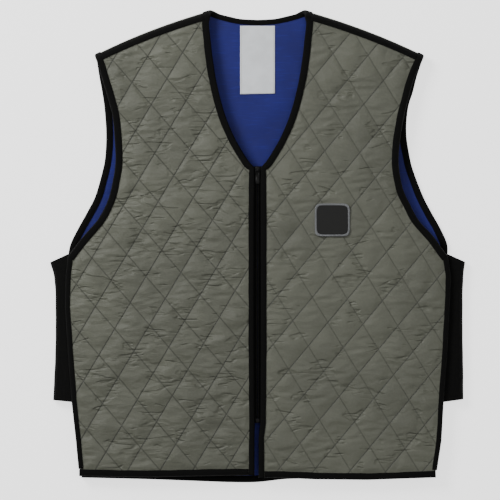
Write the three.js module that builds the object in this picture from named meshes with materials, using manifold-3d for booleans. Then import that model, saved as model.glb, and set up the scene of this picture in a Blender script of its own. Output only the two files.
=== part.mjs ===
// A quilted cooling vest, zipped up and laid flat on its back.
// Millimetres. +Z is up, +Y runs towards the neck, and the origin is the middle of the footprint.
// Left and right are the wearer's, so the wearer's right is at -X.
import * as THREE from 'three';
import { mergeVertices } from 'three/addons/utils/BufferGeometryUtils.js';
import Module from 'manifold-3d';

const wasm = await Module();
wasm.setup();

// Overall sizes of the vest as it lies
const bodyLength = 660; // shoulder point to the lowest point of the back hem
const chestWidth = 580; // fold to fold at the top of the side panels
const frontRise = 13.5; // the fronts' inner face above the floor, at the side folds
const crown = 8; // how much higher the fronts stand in the middle
const crownReach = 409; // from the middle to where the crown would run out, up or down

// Layers, counted outwards from the inner face of the lining
const liningThickness = 1;
const layerGap = 0.3;
const seamThickness = 1.6; // the quilted shell where a binding grips it
const frontPuff = 4; // the shell between the quilting lines
const backPuff = 3.2; // pressed flatter, because the vest lies on it
const frontQuilting = 2.2; // how deep its lines are
const backQuilting = 1.5;
const restingShare = 0.5; // of each back puff's width, pressed level by the floor

// Black bindings, folded over the raw edges
const bindingWall = 1;
const bindingRound = 0.7;
const neckBindingWidth = 9.7;
const centreBindingWidth = 8;
const backNeckBindingWidth = 7.8;
const armholeBindingWidth = 9.7;
const sideBindingWidth = 7.2;
const hemBindingWidth = 9.4;
const seamTapeReach = 12.6; // from the shoulder's outline to the tape's inner edge

// Shoulders
const shoulderBow = 4; // the shoulder line's bulge in its middle
const backNeckRun = 9.6; // the back neck edge starts this far inside the neck point
const frontNeckRun = 4.3; // the front neck edge has moved this far out past it
const neckBend = 2.6; // the neck edge's bulge as it goes over the fold
const foldSteps = 7; // facets round the fold
const tapeSteps = 2; // those that the seam tape covers
const foldSeam = 14; // degrees from the fold's top to the end of the back panel
const seamRun = 1; // how far the front panels run past the fold's top

// Side panels
const sidePanelThickness = 1.6;
const sidePanelLap = 5; // how far they run in over the bound edges
const sidePanelSlope = 0.5; // fall of the lower layer for each millimetre outwards

// Zip
const zipLength = 357;
const zipTapeWidth = 12;
const zipTapeThickness = 0.8;
const coilWidth = 5; // both halves closed
const coilHeight = 2.4;
const coilGap = 0.3;
const zipGap = 7.6; // between the bound front edges
const slitEdge = { right: 4.2, left: 1.4 }; // from the centre line to each edge, below the zip
const endBoxLength = 6;
const sliderLength = 11;
const sliderPlate = 1;
const sliderCheek = 0.6;
const bailInner = 1.25;
const bailWire = 1;
const bailWidth = 1.8;
const pullLength = 20;
const pullWidth = 6;
const pullThickness = 1.2;
const pullBar = 1.5; // between the pull's end and its hole
const pullHoleWidth = 2.8;
const pullHoleLength = 3.4;
const pullTilt = 3; // degrees down from level, as it lies

// Trim
const labelWidth = 48.5;
const labelLength = 95;
const labelThickness = 1;
const badgeWidth = 49;
const badgeHeight = 46;
const badgeThickness = 1.2;
const badgeCorner = 6;
const badgeRight = 104; // from the centre line to its middle
const badgeUp = 36.6; // above the middle of the vest's length

const halfChest = chestWidth / 2;
const shellInner = liningThickness + layerGap;
const seamOuter = shellInner + seamThickness;
const gripInner = -layerGap;
const gripOuter = seamOuter + layerGap;
const bindingOuter = gripOuter + bindingWall;
const bindingInner = gripInner - bindingWall;
const frontOuter = shellInner + frontPuff;
const backFace = shellInner + backPuff; // the back's inner face above the floor
const edgeInset = bindingWall + layerGap;
const UP = 1;
const DOWN = -1;

// Outlines. up is a share of bodyLength above the back hem's lowest point; right and left are
// shares of halfChest out from the centre line. Rows run downwards.
const shoulderTips = { right: [0.786, 0.906], left: [0.803, 0.905] };
const neckPoint = [0.2235, 1];
const neckRows = [
  { up: 0.969, out: 0.233 },
  { up: 0.931, out: 0.224 },
  { up: 0.893, out: 0.214 },
  { up: 0.843, out: 0.195 },
  { up: 0.792, out: 0.166 },
  { up: 0.758, out: 0.139 },
  { up: 0.724, out: 0.104 },
  { up: 0.691, out: 0.06 },
  { up: 0.676, out: 0.036 },
];
const backNeckRows = [
  { up: 0.9855, out: 0.13 },
  { up: 0.981, out: 0.08 },
  { up: 0.979, out: 0 },
];
const frontArmholeRows = [
  { up: 0.869, right: 0.757, left: 0.766 },
  { up: 0.843, right: 0.74, left: 0.745 },
  { up: 0.809, right: 0.716, left: 0.7235 },
  { up: 0.775, right: 0.697, left: 0.704 },
  { up: 0.724, right: 0.686, left: 0.685 },
  { up: 0.674, right: 0.6825, left: 0.678 },
  { up: 0.623, right: 0.702, left: 0.697 },
  { up: 0.589, right: 0.726, left: 0.732 },
  { up: 0.555, right: 0.769, left: 0.774 },
  { up: 0.522, right: 0.835, left: 0.842 },
  { up: 0.495, right: 0.884, left: 0.887 },
];
const backArmholeRows = [
  { up: 0.859, right: 0.762, left: 0.767 },
  { up: 0.826, right: 0.748, left: 0.748 },
  { up: 0.792, right: 0.737, left: 0.725 },
  { up: 0.741, right: 0.729, left: 0.7165 },
  { up: 0.691, right: 0.733, left: 0.732 },
  { up: 0.657, right: 0.7475, left: 0.752 },
  { up: 0.606, right: 0.781, left: 0.797 },
  { up: 0.572, right: 0.82, left: 0.8365 },
  { up: 0.538, right: 0.863, left: 0.88 },
  { up: 0.505, right: 0.9, left: 0.913 },
];
const sideRows = [
  { up: 0.479, right: 0.912, left: 0.915 },
  { up: 0.437, right: 0.9225, left: 0.929 },
  { up: 0.37, right: 0.925, left: 0.923 },
  { up: 0.27, right: 0.91, left: 0.911 },
  { up: 0.17, right: 0.893, left: 0.894 },
  { up: 0.09, right: 0.873, left: 0.884 },
];
const frontHemRows = [
  { out: 0.857, right: 0.0148, left: 0.0118 },
  { out: 0.53, right: 0.0127, left: 0.0068 },
  { out: 0.28, right: 0.0148, left: 0.008 },
  { out: 0.1, right: 0.0165, left: 0.0115 },
];
const backHemRows = [
  { out: 0.847, right: 0.0106, left: 0.0112 },
  { out: 0.53, right: 0.0072, left: 0.0078 },
  { out: 0.28, right: 0.0032, left: 0.0082 },
  { out: 0.14, right: 0.001, left: 0.0076 },
  { out: 0, right: 0.0012, left: 0.0012 },
];
// Side panels: the line of the fold, and how much lower each row stands there than at the binding
const sidePanelRows = [
  { up: 0.4835, right: 1, left: 1, dropRight: 0.0185, dropLeft: 0.0175 },
  { up: 0.469, right: 0.99, left: 0.995, dropRight: 0.014, dropLeft: 0.0135 },
  { up: 0.446, right: 0.979, left: 0.991, dropRight: 0.008, dropLeft: 0.008 },
  { up: 0.41, right: 0.973, left: 0.988, dropRight: 0.002, dropLeft: 0.002 },
  { up: 0.33, right: 0.971, left: 0.987, dropRight: 0, dropLeft: 0 },
  { up: 0.25, right: 0.975, left: 0.99, dropRight: -0.002, dropLeft: -0.002 },
  { up: 0.171, right: 0.984, left: 0.991, dropRight: -0.004, dropLeft: -0.006 },
];
const vPointUp = 0.6655;
const zipTopUp = 0.6685;

// Quilting: two families of parallel lines. angle is the normal's, in degrees from +X;
// phase is a share of the spacing, from the origin to the first line.
const quilting = {
  right: [
    { angle: 220.8, spacing: 40.4, phase: 0.587 },
    { angle: -30.95, spacing: 38.9, phase: 0.136 },
  ],
  left: [
    { angle: -39.8, spacing: 39, phase: 0.672 },
    { angle: 211.45, spacing: 40.3, phase: 0.303 },
  ],
  back: [
    { angle: -31, spacing: 39.6, phase: 0.5 },
    { angle: 211, spacing: 39.6, phase: 0.5 },
  ],
};

const colours = {
  shell: { color: 0x6b6c62, roughness: 0.62, metalness: 0 },
  lining: { color: 0x24366f, roughness: 0.55, metalness: 0 },
  binding: { color: 0x141413, roughness: 0.85, metalness: 0 },
  knit: { color: 0x151514, roughness: 0.9, metalness: 0 },
  zip: { color: 0x101010, roughness: 0.4, metalness: 0.1 },
  label: { color: 0xd8dce0, roughness: 0.6, metalness: 0 },
  badge: { color: 0x2a2b2c, roughness: 0.7, metalness: 0 },
};

const group = new THREE.Group();
const degrees = THREE.MathUtils.degToRad;

function plan(side, out, up) {
  return new THREE.Vector2(side * out * halfChest, (up - 0.5) * bodyLength);
}

// Height of the fronts' inner face: a low crown that falls away to the sides, neck and hem.
function frontFace(x, y) {
  const across = 1 - (x / halfChest) ** 2;
  const along = 1 - (y / crownReach) ** 2;
  return frontRise + crown * across * along;
}

const frontSheet = { out: UP, face: frontFace };
const backSheet = { out: DOWN, face: () => backFace };

function onSheet(sheet, x, y, layer) {
  return new THREE.Vector3(x, y, sheet.face(x, y) + sheet.out * layer);
}

function signedVolume(points, faces) {
  const cross = new THREE.Vector3();
  return faces.reduce((sum, [a, b, c]) => {
    cross.crossVectors(points[b], points[c]);
    return sum + points[a].dot(cross) / 6;
  }, 0);
}

// A geometry from points and triangles that close on themselves, turned to face outwards.
function closedGeometry(points, faces) {
  const outward = signedVolume(points, faces) > 0;
  const order = outward ? faces : faces.map(([a, b, c]) => [a, c, b]);
  const geometry = new THREE.BufferGeometry().setFromPoints(points);
  geometry.setIndex(order.flat());
  return geometry;
}

function toManifold(geometry) {
  const bare = geometry.clone();
  bare.deleteAttribute('normal');
  bare.deleteAttribute('uv');
  const merged = mergeVertices(bare, 1e-4);
  return new wasm.Manifold(new wasm.Mesh({
    numProp: 3,
    vertProperties: new Float32Array(merged.attributes.position.array),
    triVerts: new Uint32Array(merged.index.array),
  }));
}

function fromManifold(solid) {
  const mesh = solid.getMesh();
  const geometry = new THREE.BufferGeometry();
  geometry.setAttribute('position', new THREE.BufferAttribute(mesh.vertProperties, 3));
  geometry.setIndex(new THREE.BufferAttribute(mesh.triVerts, 1));
  return geometry;
}

function union(solids) {
  return solids.reduce((joined, solid) => joined.add(solid));
}

function addPart(name, shape, colour) {
  const geometry = shape.isBufferGeometry ? shape : fromManifold(shape);
  geometry.computeVertexNormals();
  const mesh = new THREE.Mesh(geometry, new THREE.MeshStandardMaterial(colours[colour]));
  mesh.name = name;
  group.add(mesh);
  return mesh;
}

// Joins two like-shaped triangulated surfaces into one closed solid, walled along their rims.
function between(upper, lower, faces) {
  const count = upper.length;
  const rim = new Map();
  for (const [a, b, c] of faces) {
    for (const [p, q] of [[a, b], [b, c], [c, a]]) {
      const back = `${q},${p}`;
      if (rim.has(back)) rim.delete(back);
      else rim.set(`${p},${q}`, [p, q]);
    }
  }
  const under = faces.map(([a, b, c]) => [a + count, c + count, b + count]);
  const walls = [...rim.values()].flatMap(([p, q]) => [
    [q, p, p + count],
    [q, p + count, q + count],
  ]);
  return closedGeometry([...upper, ...lower], [...faces, ...under, ...walls]);
}

function gridFaces(rows, columns) {
  const faces = [];
  for (let i = 0; i < rows - 1; i += 1) {
    for (let j = 0; j < columns - 1; j += 1) {
      const k = i * columns + j;
      faces.push([k, k + 1, k + columns + 1], [k, k + columns + 1, k + columns]);
    }
  }
  return faces;
}

// A closed sheet: place(i, j, layer) gives the point of row i and column j on a layer.
function sheetSolid(rows, columns, inner, outer, place) {
  const surface = (layer) => Array.from({ length: rows * columns }, (_, k) => (
    place(Math.floor(k / columns), k % columns, layer)
  ));
  return between(surface(outer), surface(inner), gridFaces(rows, columns));
}

// A closed bar: each row holds the section's corners, and section gives them flat, for the ends.
function loft(rows, section) {
  const count = section.length;
  const points = rows.flat();
  const faces = [];
  for (let i = 0; i < rows.length - 1; i += 1) {
    for (let j = 0; j < count; j += 1) {
      const a = i * count + j;
      const b = i * count + ((j + 1) % count);
      faces.push([a, b, b + count], [a, b + count, a + count]);
    }
  }
  const cap = THREE.ShapeUtils.triangulateShape(section, []);
  const clockwise = THREE.ShapeUtils.isClockWise(section);
  const last = (rows.length - 1) * count;
  for (const [a, b, c] of cap) {
    const [p, q] = clockwise ? [b, c] : [c, b];
    faces.push([a, p, q], [a + last, q + last, p + last]);
  }
  return closedGeometry(points, faces);
}

// The shoulder fold of one side, as a chart: s runs along the shoulder from the neck point,
// v runs from the fold's back edge (0) round to its front edge (wrap) and on over the fronts.
function shoulderChart(side, tip) {
  const neck = plan(side, ...neckPoint);
  const along = plan(side, ...tip).sub(neck);
  const length = along.length();
  along.normalize();
  const inward = new THREE.Vector2(-side * along.y, side * along.x);
  if (inward.y > 0) inward.negate();
  const middle = neck.clone().addScaledVector(along, length / 2);
  const radius = (frontFace(middle.x, middle.y) - backFace) / 2;
  const reach = radius + bindingOuter;
  const wrap = Math.PI * radius;

  function axis(s) {
    const share = THREE.MathUtils.clamp(s / length, 0, 1);
    const bow = shoulderBow * 4 * share * (1 - share);
    return neck.clone().addScaledVector(along, s).addScaledVector(inward, reach - bow);
  }

  function place(s, v, layer) {
    const point = axis(s);
    if (v <= 0) {
      point.addScaledVector(inward, -v);
      return onSheet(backSheet, point.x, point.y, layer);
    }
    if (v >= wrap) {
      point.addScaledVector(inward, v - wrap);
      return onSheet(frontSheet, point.x, point.y, layer);
    }
    const top = frontFace(point.x, point.y);
    const round = (top - backFace) / 2 + layer;
    const angle = Math.PI - v / radius;
    point.addScaledVector(inward, -round * Math.sin(angle));
    return new THREE.Vector3(point.x, point.y, (top + backFace) / 2 + round * Math.cos(angle));
  }

  function chartOf(point, sheet) {
    const offset = point.clone().sub(neck);
    const s = offset.dot(along);
    const depth = point.clone().sub(axis(s)).dot(inward);
    return new THREE.Vector2(s, sheet === frontSheet ? wrap + depth : -depth);
  }

  const angleToV = (angle) => wrap - degrees(angle) * radius;
  return { length, radius, reach, wrap, inward, axis, place, chartOf, angleToV };
}

// The normals of a path, on its left-hand side times turn. They are mitred, so that a strip keeps
// its width round a bend. before and after are the points that the path comes from and goes to.
function pathNormals(path, turn, before, after) {
  return path.map((point, i) => {
    const last = i > 0 ? path[i - 1] : before;
    const next = i < path.length - 1 ? path[i + 1] : after;
    const entering = (last ? point.clone().sub(last) : next.clone().sub(point)).normalize();
    const leaving = (next ? next.clone().sub(point) : point.clone().sub(last)).normalize();
    const along = entering.clone().add(leaving).normalize();
    const stretch = turn / along.dot(leaving);
    return new THREE.Vector2(-along.y, along.x).multiplyScalar(stretch);
  });
}

// Round the fold each strip is cut straight across, along the shoulder, with the same true width.
function levelInFold(path, normals, wrap) {
  return normals.map((normal, i) => {
    const inFold = path[i].y >= 0 && path[i].y <= wrap;
    return inFold ? new THREE.Vector2(normal.length() / normal.x, 0) : normal;
  });
}

function offsetPath(path, normals, distance) {
  return path.map((point, i) => point.clone().addScaledVector(normals[i], distance));
}

// A path whose ends are drawn back along it.
function shortened(path, atStart, atEnd) {
  const ends = [path[1].clone().sub(path[0]), path.at(-2).clone().sub(path.at(-1))];
  const first = path[0].clone().add(ends[0].setLength(atStart));
  const last = path.at(-1).clone().add(ends[1].setLength(atEnd));
  return [first, ...path.slice(1, -1), last];
}

function spline(points, steps) {
  return new THREE.SplineCurve(points).getSpacedPoints(steps);
}

// The folded tape's section: x into the panel from the cut edge, y outwards through the layers.
function bindingSection(width) {
  return [
    [0, bindingInner],
    [width, bindingInner],
    [width, gripInner],
    [bindingWall, gripInner],
    [bindingWall, gripOuter],
    [width, gripOuter],
    [width, bindingOuter],
    [bindingRound, bindingOuter],
    [0, bindingOuter - bindingRound],
  ].map(([x, y]) => new THREE.Vector2(x, y));
}

// A binding's rows along a path; place(x, y, layer) is the chart that the path is drawn in.
function bindingRows(path, normals, widthAt, place) {
  return path.map((point, i) => bindingSection(widthAt(i)).map((corner) => {
    const at = point.clone().addScaledVector(normals[i], corner.x);
    return place(at.x, at.y, corner.y);
  }));
}

function addBinding(name, rows) {
  addPart(name, loft(rows, bindingSection(neckBindingWidth)), 'binding');
}

// Everything that one side's pieces share: its shoulder chart, its outlines and its edge paths.
function sideOf(name, side) {
  const chart = shoulderChart(side, shoulderTips[name]);
  const row = ({ up, out, [name]: own }) => plan(side, out ?? own, up);
  const hemRow = ({ out, [name]: up }) => plan(side, out, up);
  const onFront = (point) => chart.chartOf(point, frontSheet);
  const onBack = (point) => chart.chartOf(point, backSheet);
  const fold = (from, to, bend) => Array.from({ length: foldSteps - 1 }, (_, k) => {
    const share = (k + 1) / foldSteps;
    const point = from.clone().lerp(to, share);
    point.x += bend * 4 * share * (1 - share);
    return point;
  });

  const frontHem = frontHemRows.map(hemRow);
  const backHem = backHemRows.map(hemRow);
  const sideEdge = sideRows.map(row);
  const sideFront = [...sideEdge, frontHem[0]];
  const sideBack = [...sideEdge, backHem[0]];

  // The centre front, from the hem up the slit, along the zip and to the foot of the V
  const slitShare = slitEdge[name] / halfChest;
  const zipShare = zipGap / 2 / halfChest;
  const zipFootUp = zipTopUp - zipLength / bodyLength;
  const slit = plan(side, slitShare, frontHemRows.at(-1)[name]);
  const slitTop = plan(side, slitShare, zipFootUp - 0.03);
  const zipFoot = plan(side, zipShare, zipFootUp);
  const vPoint = plan(side, zipShare, vPointUp);
  const centre = [slit, slitTop];
  for (let share = 0; share <= 4; share += 1) {
    centre.push(zipFoot.clone().lerp(vPoint, share / 4));
  }

  // The neck: round the V, over the shoulder and along the back to the middle
  const neckCurve = spline([vPoint, ...neckRows.map(row).reverse(), chart.axis(frontNeckRun)], 14);
  const backCurve = spline([chart.axis(-backNeckRun), ...backNeckRows.map(row)], 5);
  const neckTop = new THREE.Vector2(frontNeckRun, chart.wrap);
  const neckFoot = new THREE.Vector2(-backNeckRun, 0);
  const neckTurn = new THREE.Vector2(-backNeckRun - layerGap, -layerGap);
  const neckFront = [...centre, ...neckCurve.slice(1)];
  const neckPath = [
    ...neckFront.slice(0, -1).map(onFront), neckTop, ...fold(neckTop, neckFoot, neckBend), neckFoot,
    neckTurn, ...backCurve.slice(1).map(onBack),
  ];

  // The armhole: from the underarm up the front, over the shoulder and down the back
  const tip = chart.axis(chart.length);
  const armholeFront = spline([sideEdge[0], ...frontArmholeRows.map(row).reverse(), tip], 13);
  const armholeBack = spline([tip, ...backArmholeRows.map(row), sideEdge[0]], 13);
  const tipTop = new THREE.Vector2(chart.length, chart.wrap);
  const tipFoot = new THREE.Vector2(chart.length, 0);
  const armholePath = [
    ...armholeFront.slice(0, -1).map(onFront), tipTop, ...fold(tipTop, tipFoot, 0), tipFoot,
    ...armholeBack.slice(1).map(onBack),
  ];
  const neckNormals = pathNormals(neckPath, 1);
  const armholeNormals = pathNormals(armholePath, -1, onFront(sideEdge[1]), onBack(sideEdge[1]));
  return {
    name, side, chart, centre, neckFront, armholeFront, armholeBack, sideFront, sideBack,
    frontHem, backHem, neckPath, armholePath,
    centreCount: centre.length,
    frontCount: neckFront.length,
    neckBack: backCurve,
    neckNormals: levelInFold(neckPath, neckNormals, chart.wrap),
    armholeNormals: levelInFold(armholePath, armholeNormals, chart.wrap),
  };
}

const right = sideOf('right', -1);
const left = sideOf('left', 1);
const sides = [right, left];

// A tall prism over a flat outline, for cutting sheets to shape.
function prism(outline) {
  const tall = 4 * (frontRise + crown);
  const geometry = new THREE.ExtrudeGeometry(new THREE.Shape(outline), {
    depth: tall, bevelEnabled: false,
  });
  geometry.translate(0, 0, -tall / 4);
  return toManifold(geometry);
}

// A band along an edge, from just outside it to a distance inside, run on past both ends.
function edgeBand(path, turn, inside) {
  const outside = 4;
  const ends = shortened(path, -inside - outside, -inside - outside);
  const whole = [ends[0], ...path, ends.at(-1)];
  const normals = pathNormals(whole, turn);
  return prism([
    ...offsetPath(whole, normals, -outside), ...offsetPath(whole, normals, inside).reverse(),
  ]);
}

// A smooth layer over the whole vest. Every layer of a sheet has the same grid, so they stay
// parallel; the back is level and needs no grid.
function smoothLayer(sheet, inner, outer) {
  const rows = sheet === frontSheet ? 10 : 2;
  const columns = sheet === frontSheet ? 11 : 2;
  const width = chestWidth * 1.1;
  const height = bodyLength * 1.1;
  return toManifold(sheetSolid(rows, columns, inner, outer, (i, j, layer) => {
    const x = (j / (columns - 1) - 0.5) * width;
    const y = (i / (rows - 1) - 0.5) * height;
    return onSheet(sheet, x, y, layer);
  }));
}

// Shares the points that lie on each other, so that neighbouring diamonds meet along their edges.
function weld(all, faces) {
  const seen = new Map();
  const points = [];
  const index = all.map((p) => {
    const key = `${p.x.toFixed(3)},${p.y.toFixed(3)},${p.z.toFixed(3)}`;
    if (!seen.has(key)) {
      seen.set(key, points.length);
      points.push(p);
    }
    return seen.get(key);
  });
  const joined = faces.map((face) => face.map((k) => index[k]));
  return { points, joined: joined.filter(([a, b, c]) => a !== b && b !== c && c !== a) };
}

// The quilted face: low along both families of lines, with a puff in each diamond that is level
// over a share of it.
function quiltedLayer(sheet, lines, { puff, depth, level }, box) {
  const normals = lines.map(({ angle }) => (
    new THREE.Vector2(Math.cos(degrees(angle)), Math.sin(degrees(angle)))
  ));
  const det = normals[0].cross(normals[1]);
  const crossing = (i, j) => {
    const a = (i + lines[0].phase) * lines[0].spacing;
    const b = (j + lines[1].phase) * lines[1].spacing;
    return new THREE.Vector2(
      (a * normals[1].y - b * normals[0].y) / det,
      (b * normals[0].x - a * normals[1].x) / det,
    );
  };
  const reach = Math.ceil((bodyLength + chestWidth) / lines[0].spacing);
  const upper = [];
  const faces = [];
  for (let i = -reach; i < reach; i += 1) {
    for (let j = -reach; j < reach; j += 1) {
      const corners = [crossing(i, j), crossing(i + 1, j), crossing(i + 1, j + 1), crossing(i, j + 1)];
      const middle = corners[0].clone().lerp(corners[2], 0.5);
      if (!box.containsPoint(middle)) continue;
      const top = corners.map((c) => middle.clone().lerp(c, level));
      const base = upper.length;
      upper.push(...corners.map((c) => onSheet(sheet, c.x, c.y, puff - depth)));
      upper.push(...top.map((c) => onSheet(sheet, c.x, c.y, puff)));
      for (let k = 0; k < 4; k += 1) {
        const next = (k + 1) % 4;
        faces.push([base + k, base + next, base + 4 + next], [base + k, base + 4 + next, base + 4 + k]);
      }
      faces.push([base + 4, base + 5, base + 6], [base + 4, base + 6, base + 7]);
    }
  }
  const { points, joined } = weld(upper, faces);
  const middleLayer = (shellInner + seamOuter) / 2;
  const lower = points.map((p) => onSheet(sheet, p.x, p.y, middleLayer));
  return toManifold(between(points, lower, joined));
}

// One panel, cut back a little under its bindings, with its puffs clear of them.
function cutPanel(sheet, outline, edges, lines, relief) {
  const clearOf = (reachOf) => edges.reduce((solid, edge) => (
    solid.subtract(edgeBand(edge.path, edge.turn, reachOf(edge)))
  ), prism(outline));
  const whole = clearOf(() => edgeInset);
  const open = clearOf((edge) => edge.width + layerGap);
  const box = new THREE.Box2().setFromPoints(outline).expandByScalar(lines[0].spacing);
  const raised = quiltedLayer(sheet, lines, relief, box).intersect(open);
  return {
    shell: smoothLayer(sheet, shellInner, seamOuter).intersect(whole).add(raised),
    lining: smoothLayer(sheet, 0, liningThickness).intersect(whole),
  };
}

// Where a path in the chart passes v.
function pathAt(path, v) {
  const k = path.findIndex((point, i) => i + 1 < path.length && point.y > v && path[i + 1].y <= v);
  const share = (v - path[k].y) / (path[k + 1].y - path[k].y);
  return THREE.MathUtils.lerp(path[k].x, path[k + 1].x, share);
}

// A sheet over the shoulder, between the neck and the armhole, at the given stops round the fold.
function shoulderSheet(one, stops, inner, outer, neckInset, armholeInset) {
  const { chart } = one;
  const columns = 5;
  const nearTop = (point) => point.y > -40 && point.y < chart.wrap + 40;
  const neck = offsetPath(one.neckPath, one.neckNormals, neckInset).filter(nearTop);
  const armhole = offsetPath(one.armholePath, one.armholeNormals, armholeInset).filter(nearTop);
  return sheetSolid(stops.length, columns, inner, outer, (i, j, layer) => {
    const v = stops[i];
    const s = THREE.MathUtils.lerp(pathAt(neck, v), pathAt(armhole, v), j / (columns - 1));
    return chart.place(s, v, layer);
  });
}

// The part of the back that rolls over one shoulder and ends at the shoulder seam
function shoulderRoll(one, inner, outer) {
  const { wrap } = one.chart;
  const flatRun = 5;
  const stops = [-flatRun];
  for (let k = 0; k < foldSteps; k += 1) {
    stops.push((wrap * k) / foldSteps);
  }
  stops.push(one.chart.angleToV(foldSeam));
  return toManifold(shoulderSheet(one, stops, inner, outer, edgeInset, edgeInset));
}

// The tape over the shoulder seam
function shoulderTape(one) {
  const { wrap, reach } = one.chart;
  const stops = [];
  for (let k = foldSteps - tapeSteps; k <= foldSteps; k += 1) {
    stops.push((wrap * k) / foldSteps);
  }
  stops.push(wrap + seamTapeReach - reach);
  const neckInset = neckBindingWidth + layerGap;
  const armholeInset = armholeBindingWidth + layerGap;
  const tape = shoulderSheet(one, stops, gripOuter, bindingOuter, neckInset, armholeInset);
  addPart(`shoulder_tape_${one.name}`, tape, 'binding');
}

// Points along a shoulder from the neck outwards, a distance outside the fold's centre line
function shoulderLine(chart, from, outside) {
  return Array.from({ length: 7 }, (_, k) => (
    chart.axis(THREE.MathUtils.lerp(from, chart.length, k / 6)).addScaledVector(chart.inward, -outside)
  ));
}

function frontPanel(one) {
  const { name, chart, side } = one;
  const outline = [
    ...one.neckFront.slice(0, -1), ...shoulderLine(chart, frontNeckRun, seamRun),
    ...one.armholeFront.slice(0, -1).reverse(), ...one.sideFront.slice(1), ...one.frontHem.slice(1),
  ];
  const overFold = one.neckPath[one.frontCount];
  const neckEnd = chart.axis(overFold.x).addScaledVector(chart.inward, overFold.y - chart.wrap);
  const neckEdge = [...one.neckFront.slice(one.centreCount - 1), neckEnd];
  const edges = [
    { path: one.centre, turn: -side, width: centreBindingWidth },
    { path: neckEdge, turn: -side, width: neckBindingWidth },
    { path: one.armholeFront, turn: side, width: armholeBindingWidth },
    { path: one.sideFront, turn: -side, width: sideBindingWidth },
    { path: [...one.frontHem, one.centre[0]], turn: -side, width: hemBindingWidth },
    { path: shoulderLine(chart, 0, chart.reach), turn: -side, width: seamTapeReach },
  ];
  const relief = { puff: frontOuter, depth: frontQuilting, level: 0 };
  const panel = cutPanel(frontSheet, outline, edges, quilting[name], relief);
  addPart(`front_shell_${name}`, panel.shell, 'shell');
  addPart(`front_lining_${name}`, panel.lining, 'lining');
}

function backPanel() {
  const rim = (one) => [
    ...one.backHem.slice(0, -1).reverse(), ...one.sideBack.slice(0, -1).reverse(),
    ...one.armholeBack.slice(1, -1).reverse(), ...shoulderLine(one.chart, -backNeckRun, 0).reverse(),
    ...one.neckBack.slice(1),
  ];
  const outline = [...rim(left), ...rim(right).reverse().slice(1), right.backHem.at(-1)];
  const edges = sides.flatMap((one) => [
    { path: one.neckBack, turn: one.side, width: neckBindingWidth },
    { path: one.armholeBack, turn: -one.side, width: armholeBindingWidth },
    { path: one.sideBack, turn: -one.side, width: sideBindingWidth },
    { path: one.backHem, turn: -one.side, width: hemBindingWidth },
  ]);
  const relief = { puff: backFace, depth: backQuilting, level: restingShare };
  const panel = cutPanel(backSheet, outline, edges, quilting.back, relief);
  const rolls = (inner, outer) => sides.map((one) => shoulderRoll(one, inner, outer));
  addPart('back_shell', union([panel.shell, ...rolls(shellInner, seamOuter)]), 'shell');
  addPart('back_lining', union([panel.lining, ...rolls(0, liningThickness)]), 'lining');
}

// The front edges' binding runs from the hem up the centre, round the neck and onto the shoulder.
function frontEdgeBinding(one) {
  const last = one.frontCount;
  const path = shortened(one.neckPath.slice(0, last + 1), 0, layerGap / 2);
  const width = (i) => (i < one.centreCount ? centreBindingWidth : neckBindingWidth);
  const rows = bindingRows(path, one.neckNormals, width, one.chart.place);
  addBinding(`front_edge_binding_${one.name}`, rows);
}

// The back neck's binding starts there, on both shoulders.
function backNeckBinding() {
  const [rightRows, leftRows] = sides.map((one) => {
    const first = one.frontCount;
    const path = shortened(one.neckPath.slice(first), layerGap / 2, 0);
    const normals = one.neckNormals.slice(first);
    const width = (i) => THREE.MathUtils.lerp(
      neckBindingWidth, backNeckBindingWidth, Math.min(i / (foldSteps - 1), 1),
    );
    return bindingRows(path, normals, width, one.chart.place).slice(0, -1);
  });
  addBinding('back_neck_binding', [...rightRows, ...leftRows.reverse()]);
}

function armholeBinding(one) {
  const path = shortened(one.armholePath, layerGap / 2, layerGap / 2);
  const rows = bindingRows(path, one.armholeNormals, () => armholeBindingWidth, one.chart.place);
  addBinding(`armhole_binding_${one.name}`, rows);
}

// A binding along an edge that lies in one sheet
function flatBinding(name, sheet, path, normals, width) {
  const place = (x, y, layer) => onSheet(sheet, x, y, layer);
  addBinding(name, bindingRows(path, normals, () => width, place));
}

function sideBinding(one, sheet, edge, armhole, label) {
  const normals = pathNormals(edge, -one.side, armhole);
  const path = shortened(edge, layerGap / 2, hemBindingWidth + 3 * layerGap);
  flatBinding(`side_binding_${label}_${one.name}`, sheet, path, normals, sideBindingWidth);
}

function frontHemBinding(one) {
  const edge = [...one.frontHem, one.centre[0]];
  const path = shortened(edge, 0, centreBindingWidth + layerGap);
  const normals = pathNormals(path, -one.side);
  flatBinding(`hem_binding_front_${one.name}`, frontSheet, path, normals, hemBindingWidth);
}

function backHemBinding() {
  const path = [...right.backHem, ...left.backHem.slice(0, -1).reverse()];
  const normals = pathNormals(path, left.side);
  flatBinding('hem_binding_back', backSheet, path, normals, hemBindingWidth);
}

// How far out the side edge lies at a height, as a share of halfChest.
function sideShare(name, up) {
  const k = sideRows.findIndex((row, i) => i + 1 < sideRows.length && up > sideRows[i + 1].up);
  const [above, below] = [sideRows[k], sideRows[k + 1]];
  const share = THREE.MathUtils.clamp((above.up - up) / (above.up - below.up), 0, 1);
  return THREE.MathUtils.lerp(above[name], below[name], share);
}

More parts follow.
